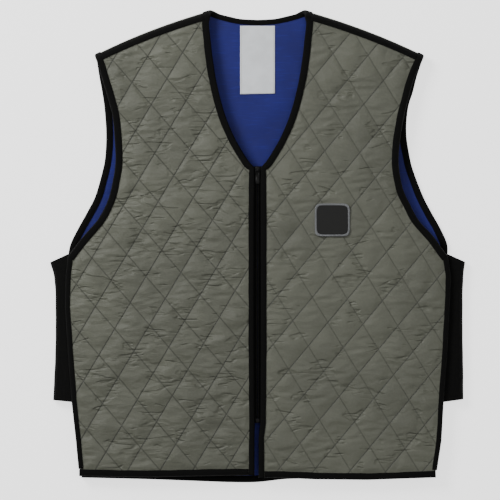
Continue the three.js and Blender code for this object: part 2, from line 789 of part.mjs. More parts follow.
// A knitted panel joins front to back. It lies folded: in under the front's binding, round the
// fold, and back in over the back's binding.
function sidePanel(one) {
  const { name, side } = one;
  const dropName = { right: 'dropRight', left: 'dropLeft' }[name];
  const lapLow = backFace - bindingInner + layerGap;
  const arcSteps = 5;
  const edgeClear = 1.5;
  const rows = sidePanelRows.map((row) => {
    const foldOut = row[name] * halfChest;
    const width = foldOut - sideShare(name, row.up) * halfChest;
    const rowAt = (inside) => {
      const share = 1 - Math.min(inside / width, 1);
      return (row.up - 0.5 - row[dropName] * share) * bodyLength;
    };
    const topAt = (inside) => (
      frontFace(side * (foldOut - inside), rowAt(inside)) + bindingInner - layerGap
    );
    const slope = sidePanelSlope;
    const run = width - edgeClear;
    const low = Math.max((lapLow - slope * run + (slope / 2) * topAt(0)) / (1 + slope / 2), 0);
    const radius = (topAt(0) - low) / 2;
    const skin = (inset) => {
      const line = [[width + sidePanelLap, lapLow + inset], [width - edgeClear, lapLow + inset]];
      for (let k = 0; k <= arcSteps; k += 1) {
        const angle = (Math.PI * k) / arcSteps;
        const round = radius - inset;
        line.push([radius - round * Math.sin(angle), low + radius - round * Math.cos(angle)]);
      }
      line.push([width, topAt(width) - inset]);
      line.push([width + sidePanelLap, topAt(width + sidePanelLap) - inset]);
      return line;
    };
    return [...skin(0), ...skin(sidePanelThickness).reverse()].map(([inside, z]) => (
      { inside, point: new THREE.Vector3(side * (foldOut - inside), rowAt(inside), z) }
    ));
  });
  const section = rows[0].map(({ inside, point }) => new THREE.Vector2(inside, point.z));
  const points = rows.map((row) => row.map(({ point }) => point));
  addPart(`side_panel_${name}`, loft(points, section), 'knit');
}

const zipTop = (zipTopUp - 0.5) * bodyLength;
const coilLow = bindingInner;
const coilTop = coilLow + coilHeight;
const sliderMiddle = zipTop - sliderLength / 2;
const plateLow = coilTop + coilGap;
const plateTop = plateLow + sliderPlate;

// A flat strip along the centre front that follows the crown
function centreStrip(xFrom, xTo, yFrom, yTo, inner, outer) {
  const steps = 6;
  return sheetSolid(steps + 1, 2, inner, outer, (i, j, layer) => (
    onSheet(frontSheet, j ? xTo : xFrom, THREE.MathUtils.lerp(yFrom, yTo, i / steps), layer)
  ));
}

function zip() {
  const foot = zipTop - zipLength;
  const coilFoot = foot + endBoxLength + layerGap;
  const tapeTop = bindingInner - layerGap;
  const tapeInner = coilWidth / 4;
  const tapeLow = tapeTop - zipTapeThickness;
  for (const { name, side } of sides) {
    const tapeOuter = tapeInner + zipTapeWidth;
    const tape = centreStrip(side * tapeInner, side * tapeOuter, foot, zipTop, tapeLow, tapeTop);
    const coilEdges = [side * layerGap * 0.5, side * coilWidth * 0.5];
    const coil = centreStrip(...coilEdges, coilFoot, zipTop - 1, coilLow, coilTop);
    addPart(`zip_tape_${name}`, tape, 'knit');
    addPart(`zip_coil_${name}`, coil, 'zip');
  }
  const halfBox = coilWidth / 2 + sliderCheek;
  const box = centreStrip(-halfBox, halfBox, foot, foot + endBoxLength, coilLow, coilTop + coilGap);
  addPart('zip_end_box', box, 'zip');
}

// The slider straddles the closed coil, and its bail is an arch along the zip.
function zipSlider() {
  const outer = coilWidth / 2 + coilGap + sliderCheek;
  const inner = outer - sliderCheek;
  const low = coilLow + coilGap;
  const body = new THREE.Shape([
    [-outer, low], [-outer, plateTop], [outer, plateTop], [outer, low],
    [inner, low], [inner, plateLow], [-inner, plateLow], [-inner, low],
  ].map(([x, y]) => new THREE.Vector2(x, y)));
  const bodyGeometry = new THREE.ExtrudeGeometry(body, { depth: sliderLength, bevelEnabled: false });
  bodyGeometry.rotateX(Math.PI / 2).translate(0, sliderLength / 2, 0);

  const bailOuter = bailInner + bailWire;
  const foot = -bailInner - sliderPlate / 2;
  const arch = new THREE.Shape();
  arch.moveTo(bailOuter, foot).absarc(0, 0, bailOuter, 0, Math.PI, false);
  arch.lineTo(-bailOuter, foot).lineTo(-bailInner, foot);
  arch.absarc(0, 0, bailInner, Math.PI, 0, true).lineTo(bailInner, foot);
  const archGeometry = new THREE.ExtrudeGeometry(arch, {
    depth: bailWidth, bevelEnabled: false, curveSegments: 8,
  });
  archGeometry.translate(0, 0, -bailWidth / 2).rotateX(Math.PI / 2).rotateZ(Math.PI / 2);
  archGeometry.translate(0, 0, plateTop + bailInner);
  const slider = addPart('zip_slider', toManifold(bodyGeometry).add(toManifold(archGeometry)), 'zip');
  slider.position.set(0, sliderMiddle, frontFace(0, sliderMiddle));
}

// The pull's bar lies in the bail, and the bail passes through the pull's hole.
function zipPull() {
  const corner = 1.4;
  const half = pullWidth / 2;
  const top = pullBar / 2;
  const foot = top - pullLength;
  const tab = new THREE.Shape();
  tab.moveTo(-half, top).lineTo(-half, foot + corner);
  tab.quadraticCurveTo(-half, foot, -half + corner, foot);
  tab.lineTo(half - corner, foot);
  tab.quadraticCurveTo(half, foot, half, foot + corner);
  tab.lineTo(half, top);
  const hole = new THREE.Path([
    [-pullHoleWidth / 2, -top], [-pullHoleWidth / 2, -top - pullHoleLength],
    [pullHoleWidth / 2, -top - pullHoleLength], [pullHoleWidth / 2, -top],
  ].map(([x, y]) => new THREE.Vector2(x, y)));
  tab.holes.push(hole);
  const geometry = new THREE.ExtrudeGeometry(tab, {
    depth: pullThickness, bevelEnabled: false, curveSegments: 5,
  });
  geometry.translate(0, 0, -pullThickness / 2);
  const pull = addPart('zip_pull', toManifold(geometry), 'zip');
  pull.rotation.x = degrees(pullTilt);
  pull.position.set(0, sliderMiddle, frontFace(0, sliderMiddle) + plateTop + bailInner);
}

// The woven label hangs from the back neck's binding, on the lining.
function label() {
  const neckLow = plan(1, 0, backNeckRows.at(-1).up).y - backNeckBindingWidth;
  const top = neckLow - 2 * layerGap;
  const half = labelWidth / 2;
  const label = sheetSolid(2, 2, -layerGap, -layerGap - labelThickness, (i, j, layer) => (
    onSheet(backSheet, j ? half : -half, top - (i ? labelLength : 0), layer)
  ));
  addPart('neck_label', label, 'label');
}

// A woven badge sewn on the quilting of the left front
function badge() {
  const w = badgeWidth / 2;
  const h = badgeHeight / 2;
  const r = badgeCorner;
  const shape = new THREE.Shape();
  shape.moveTo(-w + r, -h).lineTo(w - r, -h).absarc(w - r, -h + r, r, -Math.PI / 2, 0, false);
  shape.lineTo(w, h - r).absarc(w - r, h - r, r, 0, Math.PI / 2, false);
  shape.lineTo(-w + r, h).absarc(-w + r, h - r, r, Math.PI / 2, Math.PI, false);
  shape.lineTo(-w, -h + r).absarc(-w + r, -h + r, r, Math.PI, 1.5 * Math.PI, false);
  const geometry = new THREE.ExtrudeGeometry(shape, {
    depth: badgeThickness, bevelEnabled: false, curveSegments: 4,
  });
  geometry.translate(badgeRight, badgeUp, 0);
  const at = geometry.attributes.position;
  for (let k = 0; k < at.count; k += 1) {
    const layer = frontOuter + layerGap + at.getZ(k);
    at.setZ(k, onSheet(frontSheet, at.getX(k), at.getY(k), layer).z);
  }
  addPart('chest_badge', toManifold(geometry), 'badge');
}

for (const one of sides) {
  frontPanel(one);
}
backPanel();
for (const one of sides) {
  frontEdgeBinding(one);
  armholeBinding(one);
  sideBinding(one, frontSheet, one.sideFront, one.armholeFront[1], 'front');
  sideBinding(one, backSheet, one.sideBack, one.armholeBack.at(-2), 'back');
  frontHemBinding(one);
  shoulderTape(one);
  sidePanel(one);
}
backNeckBinding();
backHemBinding();
zip();
zipSlider();
zipPull();
label();
badge();

export default group;
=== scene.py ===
import math

import bpy
import numpy as np
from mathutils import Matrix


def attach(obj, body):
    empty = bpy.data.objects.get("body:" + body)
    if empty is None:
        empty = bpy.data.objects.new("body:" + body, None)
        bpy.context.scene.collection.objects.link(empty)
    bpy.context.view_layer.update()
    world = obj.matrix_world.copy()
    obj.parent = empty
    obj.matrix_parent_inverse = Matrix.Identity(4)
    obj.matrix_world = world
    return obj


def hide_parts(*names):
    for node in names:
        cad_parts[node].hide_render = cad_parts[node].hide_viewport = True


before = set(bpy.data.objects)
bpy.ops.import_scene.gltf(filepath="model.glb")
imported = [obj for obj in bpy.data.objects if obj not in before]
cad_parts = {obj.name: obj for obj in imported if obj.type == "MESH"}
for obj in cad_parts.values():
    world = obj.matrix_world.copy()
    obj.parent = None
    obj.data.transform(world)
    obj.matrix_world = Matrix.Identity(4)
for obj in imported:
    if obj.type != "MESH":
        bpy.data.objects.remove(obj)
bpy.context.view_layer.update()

bl_info = {
    "name": "Quilted cooling vest",
    "version": (1, 0, 0),
    "blender": (4, 5, 0),
    "location": "3D View > Sidebar > Vest",
    "description": "Sews a quilted cooling vest, laid flat and zipped up, around its packed solids",
    "category": "Object",
}

# Lengths are millimetres until a mesh is made. +Y runs to the neck, and the wearer's right is at -X.
MM = 0.001
BODY_LENGTH = 660.0
HALF_CHEST = 290.0
FRONT_RISE = 13.5
CROWN = 8.0
CROWN_REACH = 409.0
BACK_FACE = 4.5

# Layers, counted outwards from the inner face of the lining
LINING = 1.0
SHELL_INNER = 1.3
SEAM = 2.9
GRIP_INNER = -0.3
GRIP_OUTER = 3.2
TAPE_INNER = -1.3
TAPE_OUTER = 4.2
FRONT_VALLEY = 3.1
BACK_VALLEY = 3.0
EDGE_INSET = 1.6

BINDING_WIDTHS = {"centre": 8.0, "neck": 9.7, "back_neck": 7.8, "armhole": 9.7, "side": 7.2, "hem": 9.4}
SHOULDER_BOW = 4.0
FRONT_NECK_RUN = 4.3
BACK_NECK_RUN = 9.6
NECK_BEND = 2.6
SEAM_TAPE_REACH = 12.6
V_POINT_UP = 0.6655
ZIP_TOP = 111.21
ZIP_LENGTH = 357.0
ZIP_GAP = 7.6
SLIT_EDGES = {"right": 4.2, "left": 1.4}

# Outlines: up is a share of the length above the back hem, out a share of half the chest
SHOULDER_TIPS = {"right": (0.786, 0.906), "left": (0.803, 0.905)}
NECK_POINT = (0.2235, 1.0)
NECK_ROWS = [  # up, out
    (0.969, 0.233), (0.931, 0.224), (0.893, 0.214), (0.843, 0.195), (0.792, 0.166),
    (0.758, 0.139), (0.724, 0.104), (0.691, 0.06), (0.676, 0.036),
]
BACK_NECK_ROWS = [(0.9855, 0.13), (0.981, 0.08), (0.979, 0.0)]  # up, out
FRONT_ARMHOLE_ROWS = [  # up, right, left
    (0.869, 0.757, 0.766), (0.843, 0.74, 0.745), (0.809, 0.716, 0.7235), (0.775, 0.697, 0.704),
    (0.724, 0.686, 0.685), (0.674, 0.6825, 0.678), (0.623, 0.702, 0.697), (0.589, 0.726, 0.732),
    (0.555, 0.769, 0.774), (0.522, 0.835, 0.842), (0.495, 0.884, 0.887),
]
BACK_ARMHOLE_ROWS = [  # up, right, left
    (0.859, 0.762, 0.767), (0.826, 0.748, 0.748), (0.792, 0.737, 0.725), (0.741, 0.729, 0.7165),
    (0.691, 0.733, 0.732), (0.657, 0.7475, 0.752), (0.606, 0.781, 0.797), (0.572, 0.82, 0.8365),
    (0.538, 0.863, 0.88), (0.505, 0.9, 0.913),
]
SIDE_ROWS = [  # up, right, left
    (0.479, 0.912, 0.915), (0.437, 0.9225, 0.929), (0.37, 0.925, 0.923), (0.27, 0.91, 0.911),
    (0.17, 0.893, 0.894), (0.09, 0.873, 0.884),
]
FRONT_HEM_ROWS = [  # out, right up, left up
    (0.857, 0.0148, 0.0118), (0.53, 0.0127, 0.0068), (0.28, 0.0148, 0.008), (0.1, 0.0165, 0.0115),
]
BACK_HEM_ROWS = [  # out, right up, left up
    (0.847, 0.0106, 0.0112), (0.53, 0.0072, 0.0078), (0.28, 0.0032, 0.0082),
    (0.14, 0.001, 0.0076), (0.0, 0.0012, 0.0012),
]
SIDE_PANEL_ROWS = [  # up, fold right, fold left, drop right, drop left
    (0.4835, 1.0, 1.0, 0.0185, 0.0175), (0.469, 0.99, 0.995, 0.014, 0.0135),
    (0.446, 0.979, 0.991, 0.008, 0.008), (0.41, 0.973, 0.988, 0.002, 0.002),
    (0.33, 0.971, 0.987, 0.0, 0.0), (0.25, 0.975, 0.99, -0.002, -0.002),
    (0.171, 0.984, 0.991, -0.004, -0.006),
]
QUILTING = {  # angle of the lines' normal in degrees, spacing, phase as a share of the spacing
    "right": [(220.8, 40.4, 0.587), (-30.95, 38.9, 0.136)],
    "left": [(-39.8, 39.0, 0.672), (211.45, 40.3, 0.303)],
    "back": [(-31.0, 39.6, 0.5), (211.0, 39.6, 0.5)],
}
# How deep each family of stitching lies, and how dark the painted shade in its groove is
STITCH_DEPTH_AND_SHADE = {"right": (0.6, 0.9), "left": (0.75, 0.4), "back": (0.7, 0.7)}

# How creased the cloth is, as a share of the most creased half
CREASING = {"right": 1.0, "left": 0.5, "back": 0.7}
CREASES = [  # turn in radians, noise scale, width of the fold line, least noise that shows it
    (0.22, 31.0, 0.055, 0.515), (-0.08, 46.0, 0.065, 0.55),
]

# Cloth simulation of the quilted faces
DRAWN_IN_FRAME = 9
LAST_FRAME = 18
FARTHEST_MOVE = 2.5
STIFFNESS = {
    "tension_stiffness": 15, "compression_stiffness": 15, "shear_stiffness": 5,
    "bending_stiffness": 1.5,
}

LABEL_TOP = 307.7
LABEL_SIZE = (48.5, 95.0)
BADGE_CENTRE = (104.0, 36.6)
BADGE_HALF_SIZE = (24.5, 23.0)


def plan(side, out, up):
    return np.array([side * out * HALF_CHEST, (up - 0.5) * BODY_LENGTH])


def front_face(x, y):
    """Height of the fronts' inner face: a crown that falls off with the squares of x and y."""
    return FRONT_RISE + CROWN * (1 - (x / HALF_CHEST) ** 2) * (1 - (y / CROWN_REACH) ** 2)


def smooth_step(value):
    share = np.clip(value, 0, 1)
    return share * share * (3 - 2 * share)


def run_of(line):
    """Distance along a line of points, from its start to each point."""
    return np.concatenate([[0], np.cumsum(np.linalg.norm(np.diff(line, axis=0), axis=1))])


def even(line, count):
    """The line's points taken again at equal steps along its length."""
    run = run_of(line)
    at = np.linspace(0, run[-1], count)
    return np.stack([np.interp(at, run, column) for column in line.T], axis=1)


def curve(points, count):
    """Catmull-Rom curve: each span is the cubic whose slopes are half the step between neighbours."""
    p = np.asarray(points, float)
    padded = np.vstack([p[:1], p, p[-1:]])
    t = np.linspace(0, 1, 32, endpoint=False)[:, None]
    spans = []
    for a, b, c, d in zip(padded, padded[1:], padded[2:], padded[3:]):
        enter = (c - a) / 2
        leave = (d - b) / 2
        cubic = (2 * b - 2 * c + enter + leave) * t ** 3
        square = (-3 * b + 3 * c - 2 * enter - leave) * t ** 2
        spans.append(cubic + square + enter * t + b)
    return even(np.vstack(spans + [p[-1:]]), count)


def blurred(values, width):
    """Moving average along the first axis with a bell-shaped weight, ends held."""
    reach = int(3 * width) + 1
    weight = np.exp(-0.5 * (np.arange(-reach, reach + 1) / width) ** 2)
    weight /= weight.sum()
    padded = np.concatenate([values[:1].repeat(reach, 0), values, values[-1:].repeat(reach, 0)])
    columns = [np.convolve(column, weight, "valid") for column in padded.reshape(len(padded), -1).T]
    return np.stack(columns, axis=1).reshape(values.shape)


def side_normals(path, turn):
    """Unit normals on the path's left-hand side times turn."""
    tangent = np.gradient(path, axis=0)
    tangent /= np.linalg.norm(tangent, axis=1, keepdims=True)
    return turn * np.stack([-tangent[:, 1], tangent[:, 0]], axis=1)


class Half:
    """One side of the vest: the chart of its shoulder fold, its outlines and its edge paths.

    In the chart, s runs along the shoulder from the neck, and v round the fold: up to 0 is the back
    sheet, from wrap on is the front sheet, and between them v is the arc over the fold.
    """

    def __init__(self, name, side):
        self.name = name
        self.side = side
        self.column = {"right": 0, "left": 1}[name]
        pick = self.column
        self.neck = plan(side, *NECK_POINT)
        run = plan(side, *SHOULDER_TIPS[name]) - self.neck
        self.length = float(np.hypot(*run))
        self.along = run / self.length
        inward = np.array([-self.along[1], self.along[0]])
        self.inward = inward * (-1 if inward[1] > 0 else 1)
        middle = self.neck + run / 2
        self.radius = (front_face(*middle) - BACK_FACE) / 2
        self.reach = self.radius + TAPE_OUTER
        self.wrap = math.pi * self.radius

        row = [plan(side, out[pick], up) for up, *out in SIDE_ROWS]
        front_hem = [plan(side, out, ups[pick]) for out, *ups in FRONT_HEM_ROWS]
        back_hem = [plan(side, out, ups[pick]) for out, *ups in BACK_HEM_ROWS]
        self.side_front = np.array(row + front_hem[:1])
        self.side_back = np.array(row + back_hem[:1])
        self.front_hem = np.array(front_hem)
        self.back_hem = np.array(back_hem)

        slit = SLIT_EDGES[name]
        zip_foot = ZIP_TOP - ZIP_LENGTH
        v_point = np.array([side * ZIP_GAP / 2, (V_POINT_UP - 0.5) * BODY_LENGTH])
        self.centre = np.array([
            [side * slit, front_hem[-1][1]], [side * slit, zip_foot - 20],
            [side * ZIP_GAP / 2, zip_foot], v_point,
        ])
        neck = [plan(side, out, up) for up, out in NECK_ROWS][::-1]
        self.neck_front = curve([v_point, *neck, self.axis(FRONT_NECK_RUN)], 160)
        back_neck = [plan(side, out, up) for up, out in BACK_NECK_ROWS]
        self.neck_back = curve([self.axis(-BACK_NECK_RUN), *back_neck], 60)
        tip = self.axis(self.length)
        front_arm = [plan(side, out[pick], up) for up, *out in FRONT_ARMHOLE_ROWS]
        back_arm = [plan(side, out[pick], up) for up, *out in BACK_ARMHOLE_ROWS]
        self.armhole_front = curve([row[0], *front_arm[::-1], tip], 200)
        self.armhole_back = curve([tip, *back_arm, row[0]], 200)

    def axis(self, s):
        """The fold's centre line in plan: straight, but bowed outwards by a parabola."""
        s = np.asarray(s, float)
        share = np.clip(s / self.length, 0, 1)
        bow = SHOULDER_BOW * 4 * share * (1 - share)
        return self.neck + self.along * s[..., None] + self.inward * (self.reach - bow)[..., None]

    def place(self, s, v, layer):
        """Point of the chart on a layer: the two sheets, joined by a half circle of arc v / radius."""
        s, v, layer = np.broadcast_arrays(np.asarray(s, float), v, layer)
        slide = np.where(v <= 0, -v, np.maximum(v - self.wrap, 0))
        flat = self.axis(s) + self.inward * slide[..., None]
        top = front_face(flat[..., 0], flat[..., 1])
        round_ = (top - BACK_FACE) / 2 + layer
        angle = math.pi - np.clip(v, 0, self.wrap) / self.radius
        point = flat - self.inward * (round_ * np.sin(angle))[..., None]
        height = (top + BACK_FACE) / 2 + round_ * np.cos(angle)
        return np.concatenate([point, height[..., None]], axis=-1)

    def chart(self, points, on_front):
        """Chart coordinates of plan points on the front or the back sheet."""
        s = (points - self.neck) @ self.along
        depth = ((points - self.axis(s)) * self.inward).sum(-1)
        return np.stack([s, self.wrap + depth if on_front else -depth], axis=-1)

    def fold_path(self, start, end, bend):
        """A line over the fold in the chart, bowed by a parabola of height bend."""
        share = np.linspace(0, 1, 30)[1:-1, None]
        line = np.array(start) * (1 - share) + np.array(end) * share
        line[:, 0] += (bend * 4 * share * (1 - share))[:, 0]
        return line

    def neck_path(self):
        """The bound edge from the hem up the centre, round the neck and down the back, in the chart."""
        front = np.vstack([self.centre[:-1], self.neck_front[:-1]])
        top = [FRONT_NECK_RUN, self.wrap]
        foot = [-BACK_NECK_RUN, 0]
        return [
            np.vstack([self.chart(front, True), [top]]),
            np.vstack([[top], self.fold_path(top, foot, NECK_BEND), [foot],
                       self.chart(self.neck_back[1:], False)]),
        ]

    def armhole_path(self):
        top = [self.length, self.wrap]
        foot = [self.length, 0]
        return np.vstack([
            self.chart(self.armhole_front[:-1], True), [top], self.fold_path(top, foot, 0), [foot],
            self.chart(self.armhole_back[1:], False),
        ])


HALVES = [Half("right", -1), Half("left", 1)]


def on_front(points, layer):
    """Plan points lifted onto a layer of the front sheet."""
    height = front_face(points[..., 0], points[..., 1]) + layer
    return np.concatenate([points, height[..., None]], axis=-1)


def on_back(points, layer):
    height = np.broadcast_to(BACK_FACE - layer, points.shape[:-1])
    return np.concatenate([points, height[..., None]], axis=-1)


def coons(bottom, top, left, right):
    """Patch between four edges: the two rulings added, less the blend of the four corners."""
    u = np.linspace(0, 1, len(bottom))[None, :, None]
    t = np.linspace(0, 1, len(left))[:, None, None]
    across = left[:, None] * (1 - u) + right[:, None] * u
    up = bottom[None] * (1 - t) + top[None] * t
    low = bottom[0] * (1 - u) + bottom[-1] * u
    high = top[0] * (1 - u) + top[-1] * u
    return across + up - low * (1 - t) - high * t


def edge_distance(points, line):
    """Shortest distance in plan from each point to the straight pieces of a line."""
    flat = points.reshape(-1, 2)
    best = np.full(len(flat), np.inf)
    for a, b in zip(line[:-1], line[1:]):
        step = b - a
        share = np.clip((flat - a) @ step / (step @ step + 1e-12), 0, 1)
        best = np.minimum(best, np.linalg.norm(flat - a - share[:, None] * step, axis=1))
    return best.reshape(points.shape[:-1])


def line_distances(lines, x, y):
    """Distance to the nearest line of each family: the normal coordinate, folded about whole steps."""
    found = []
    for angle, spacing, phase in lines:
        turn = math.radians(angle)
        steps = (x * math.cos(turn) + y * math.sin(turn)) / spacing - phase
        found.append(spacing * np.abs(steps - np.round(steps)))
    return found


def crossings(lines, low, high):
    """Points where the two families of quilting lines cross, inside a box."""
    (turn_a, gap_a, phase_a), (turn_b, gap_b, phase_b) = lines
    k = np.arange(-24, 25)
    a, b = np.meshgrid((k + phase_a) * gap_a, (k + phase_b) * gap_b)
    normals = np.array([[math.cos(math.radians(t)), math.sin(math.radians(t))] for t in (turn_a, turn_b)])
    points = np.stack([a.ravel(), b.ravel()], axis=1) @ np.linalg.inv(normals).T
    inside = np.all((points > low) & (points < high), axis=1)
    return points[inside]


def puckers(x, y, centres, angles, lengths, widths, heights):
    """Short gathers: each is a ridge, bell-shaped across and along, slightly bent."""
    total = np.zeros_like(x)
    for centre, angle, long, wide, tall in zip(centres, angles, lengths, widths, heights):
        dx = x - centre[0]
        dy = y - centre[1]
        near = (np.abs(dx) < 1.8 * long) & (np.abs(dy) < 1.8 * long)
        run = dx[near] * math.cos(angle) + dy[near] * math.sin(angle)
        off = dy[near] * math.cos(angle) - dx[near] * math.sin(angle) + 0.012 * run * run
        total[near] += tall * np.exp(-(run / long) ** 2 * 2 - (off / wide) ** 2)
    return total


def gathers(name, x, y, edges, seed):
    """The gathers of one quilted panel: level ones by the stitching, and square ones by the edges."""
    rng = np.random.default_rng(seed)
    low = np.array([x.min(), y.min()])
    high = np.array([x.max(), y.max()])
    nodes = crossings(QUILTING[name], low, high).repeat(5, 0)
    nodes = nodes + rng.normal(0, [11, 9], nodes.shape)
    count = len(nodes)
    total = puckers(
        x, y, nodes, rng.normal(0, 0.28, count), rng.uniform(7, 17, count),
        rng.uniform(1.7, 3.2, count), rng.uniform(-0.75, 0.9, count),
    )
    for line in edges:
        every = even(line, max(int(run_of(line)[-1] / 6.5), 2))
        normal = side_normals(every, 1)
        angle = np.arctan2(normal[:, 1], normal[:, 0]) + rng.normal(0, 0.2, len(every))
        count = len(every)
        total += puckers(
            x, y, every + rng.normal(0, 1.5, every.shape), angle, rng.uniform(11, 24, count),
            rng.uniform(1.5, 2.6, count), rng.uniform(-0.6, 0.8, count),
        )
    return total


def pillow(lines, x, y, softness):
    """0 on the quilting lines, 1 in the middle of a diamond: a product of two saturating rises."""
    first, second = line_distances(lines, x, y)
    return (1 - np.exp(-first / softness)) * (1 - np.exp(-second / softness))


def cell_faces(rows, columns, keep=None):
    index = np.arange(rows * columns).reshape(rows, columns)
    quads = np.stack([index[:-1, :-1], index[:-1, 1:], index[1:, 1:], index[1:, :-1]], axis=-1)
    return quads.reshape(-1, 4) if keep is None else quads[keep]


def volume_of(points, quads):
    a, b, c, d = (points[quads[:, k]] for k in range(4))
    return (np.einsum("ij,ij->i", a, np.cross(b, c)) + np.einsum("ij,ij->i", a, np.cross(c, d))).sum()


def closed(outer, inner, quads):
    """Two like surfaces joined along their rim, with the points that no face uses left out."""
    count = len(outer)
    edges = np.concatenate([quads[:, [k, (k + 1) % 4]] for k in range(4)])
    one_way = np.isin(edges[:, 0] * count + edges[:, 1], edges[:, 1] * count + edges[:, 0])
    rim = edges[~one_way]
    walls = np.stack([rim[:, 1], rim[:, 0], rim[:, 0] + count, rim[:, 1] + count], axis=1)
    faces = np.vstack([quads, quads[:, ::-1] + count, walls])
    points = np.vstack([outer, inner])
    used = np.unique(faces)
    place = np.full(len(points), -1)
    place[used] = np.arange(len(used))
    points = points[used]
    faces = place[faces]
    if volume_of(points, faces) < 0:
        faces = faces[:, ::-1]
    return points, faces, used


def ring_faces(rows, count):
    """Faces of a tube whose rows are closed loops of count points."""
    index = np.arange(rows * count).reshape(rows, count)
    after = np.roll(index, -1, axis=1)
    return np.stack([index[:-1], after[:-1], after[1:], index[1:]], axis=-1).reshape(-1, 4)


def add_piece(name, points, faces, material, body="vest", uv=None, caps=()):
    """Makes the mesh in metres, with smooth faces, and says what it rides on and is made of."""
    mesh = bpy.data.meshes.new(name)
    mesh.from_pydata((np.asarray(points) * MM).tolist(), [], faces.tolist() + [list(c) for c in caps])
    if uv is not None:
        layer = mesh.uv_layers.new(name="lay")
        corner = np.empty(len(mesh.loops), np.int32)
        mesh.loops.foreach_get("vertex_index", corner)
        layer.data.foreach_set("uv", (np.asarray(uv)[corner] * MM).astype(np.float32).ravel())
    mesh.polygons.foreach_set("use_smooth", np.ones(len(mesh.polygons), bool))
    mesh.materials.append(material)
    piece = bpy.data.objects.new(name, mesh)
    bpy.context.scene.collection.objects.link(piece)
    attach(piece, body)
    return piece


def add_shell(name, outer, inner, quads, material, uv=None):
    points, faces, used = closed(outer.reshape(-1, 3), inner.reshape(-1, 3), quads)
    both = None if uv is None else np.vstack([uv.reshape(-1, 2)] * 2)[used]
    return add_piece(name, points, faces, material, uv=both)


def loft(name, rows, material, uv=None, body="vest"):
    """A bar from rows of section points, closed by a cap at each end, turned to face outwards."""
    count, around = rows.shape[:2]
    points = rows.reshape(-1, 3)
    faces = ring_faces(count, around)
    first = np.arange(around)[::-1]
    last = np.arange(around) + (count - 1) * around
    if volume_of(points, faces) < 0:
        faces = faces[:, ::-1]
        first, last = first[::-1], last[::-1]
    return add_piece(name, points, faces, material, body=body, uv=uv, caps=(first, last))


class Value:
    """A shader socket. Expressions on values add Math nodes to its tree."""

    def __init__(self, cloth, socket):
        self.cloth = cloth
        self.socket = socket

    def maths(self, operation, *others):
        return self.cloth.node("ShaderNodeMath", {"operation": operation}, [self, *others])

    def __add__(self, other):
        return self.maths("ADD", other)

    def __sub__(self, other):
        return self.maths("SUBTRACT", other)

    def __mul__(self, other):
        return self.maths("MULTIPLY", other)

    def __truediv__(self, other):
        return self.maths("DIVIDE", other)

    def __rsub__(self, other):
        return self.cloth.node("ShaderNodeMath", {"operation": "SUBTRACT"}, [other, self])

    __radd__ = __add__
    __rmul__ = __mul__

    def sine(self):
        return self.maths("SINE")

    def size(self):
        return self.maths("ABSOLUTE")

    def fraction(self):
        return self.maths("FRACT")

    def least(self, other):
        return self.maths("MINIMUM", other)

    def most(self, other):
        return self.maths("MAXIMUM", other)

    def power(self, other):
        return self.maths("POWER", other)

    def between(self, low, high):
        """0 at low and below, 1 at high and above, and a smooth rise between them."""
        return self.cloth.node(
            "ShaderNodeMapRange", {"interpolation_type": "SMOOTHSTEP"},
            {"Value": self, "From Min": low, "From Max": high},
        )


class Finish:
    """A material and its node tree."""

    def __init__(self, name):
        self.material = bpy.data.materials.new(name)
        self.material.use_nodes = True
        self.tree = self.material.node_tree
        self.tree.nodes.clear()

    def node(self, kind, settings=None, values=(), output=0):
        made = self.tree.nodes.new(kind)
        for key, setting in (settings or {}).items():
            setattr(made, key, setting)
        pairs = values.items() if isinstance(values, dict) else enumerate(values)
        for key, value in pairs:
            if isinstance(value, Value):
                self.tree.links.new(value.socket, made.inputs[key])
            else:
                made.inputs[key].default_value = value
        return Value(self, made.outputs[output]) if made.outputs else None

    def place(self):
        """Object coordinates in metres, and their three parts."""
        whole = self.node("ShaderNodeTexCoord", output="Object")
        parts = self.tree.nodes.new("ShaderNodeSeparateXYZ")
        self.tree.links.new(whole.socket, parts.inputs[0])
        return whole, *[Value(self, parts.outputs[k]) for k in range(3)]

    def lay(self):
        """The piece's own map in metres: along it and across it."""
        whole = self.node("ShaderNodeUVMap", {"uv_map": "lay"})
        parts = self.tree.nodes.new("ShaderNodeSeparateXYZ")
        self.tree.links.new(whole.socket, parts.inputs[0])
        return whole, Value(self, parts.outputs[0]), Value(self, parts.outputs[1])

    def noise(self, where, scale, detail=2.0, roughness=0.5, stretch=None):
        if stretch:
            where = self.node("ShaderNodeMapping", values={"Vector": where, "Scale": stretch})
        return self.node(
            "ShaderNodeTexNoise", values={"Vector": where, "Scale": scale, "Detail": detail,
                                          "Roughness": roughness},
        )

    def contour(self, where, turn, stretch, scale, wide):
        """0 along a level line of a turned and stretched noise, and 1 from a little way off it."""
        laid = self.node("ShaderNodeMapping", values={
            "Vector": where, "Rotation": (0.0, 0.0, turn), "Scale": stretch,
        })
        return (self.noise(laid, scale, 2.0, 0.5) - 0.5).size().between(0.0, wide)

    def tint(self, share, first, second):
        """Mixes two colours by a share."""
        mixed = self.tree.nodes.new("ShaderNodeMix")
        mixed.data_type = "RGBA"
        for key, value in ((0, share), (6, first), (7, second)):
            if isinstance(value, Value):
                self.tree.links.new(value.socket, mixed.inputs[key])
            elif key:
                mixed.inputs[key].default_value = (*value[:3], 1)
            else:
                mixed.inputs[key].default_value = value
        return Value(self, mixed.outputs[2])

    def bump(self, height, depth, under=None):
        values = {"Height": height, "Distance": depth, "Strength": 1.0}
        if under:
            values["Normal"] = under
        return self.node("ShaderNodeBump", values=values)

    def surface(self, **values):
        """Ends the tree in a Principled shader. Constants go on its own sockets."""
        shader = self.node("ShaderNodeBsdfPrincipled", values={
            key.replace("_", " "): value for key, value in values.items()
        })
        self.node("ShaderNodeOutputMaterial", values=[shader])
        return self.material


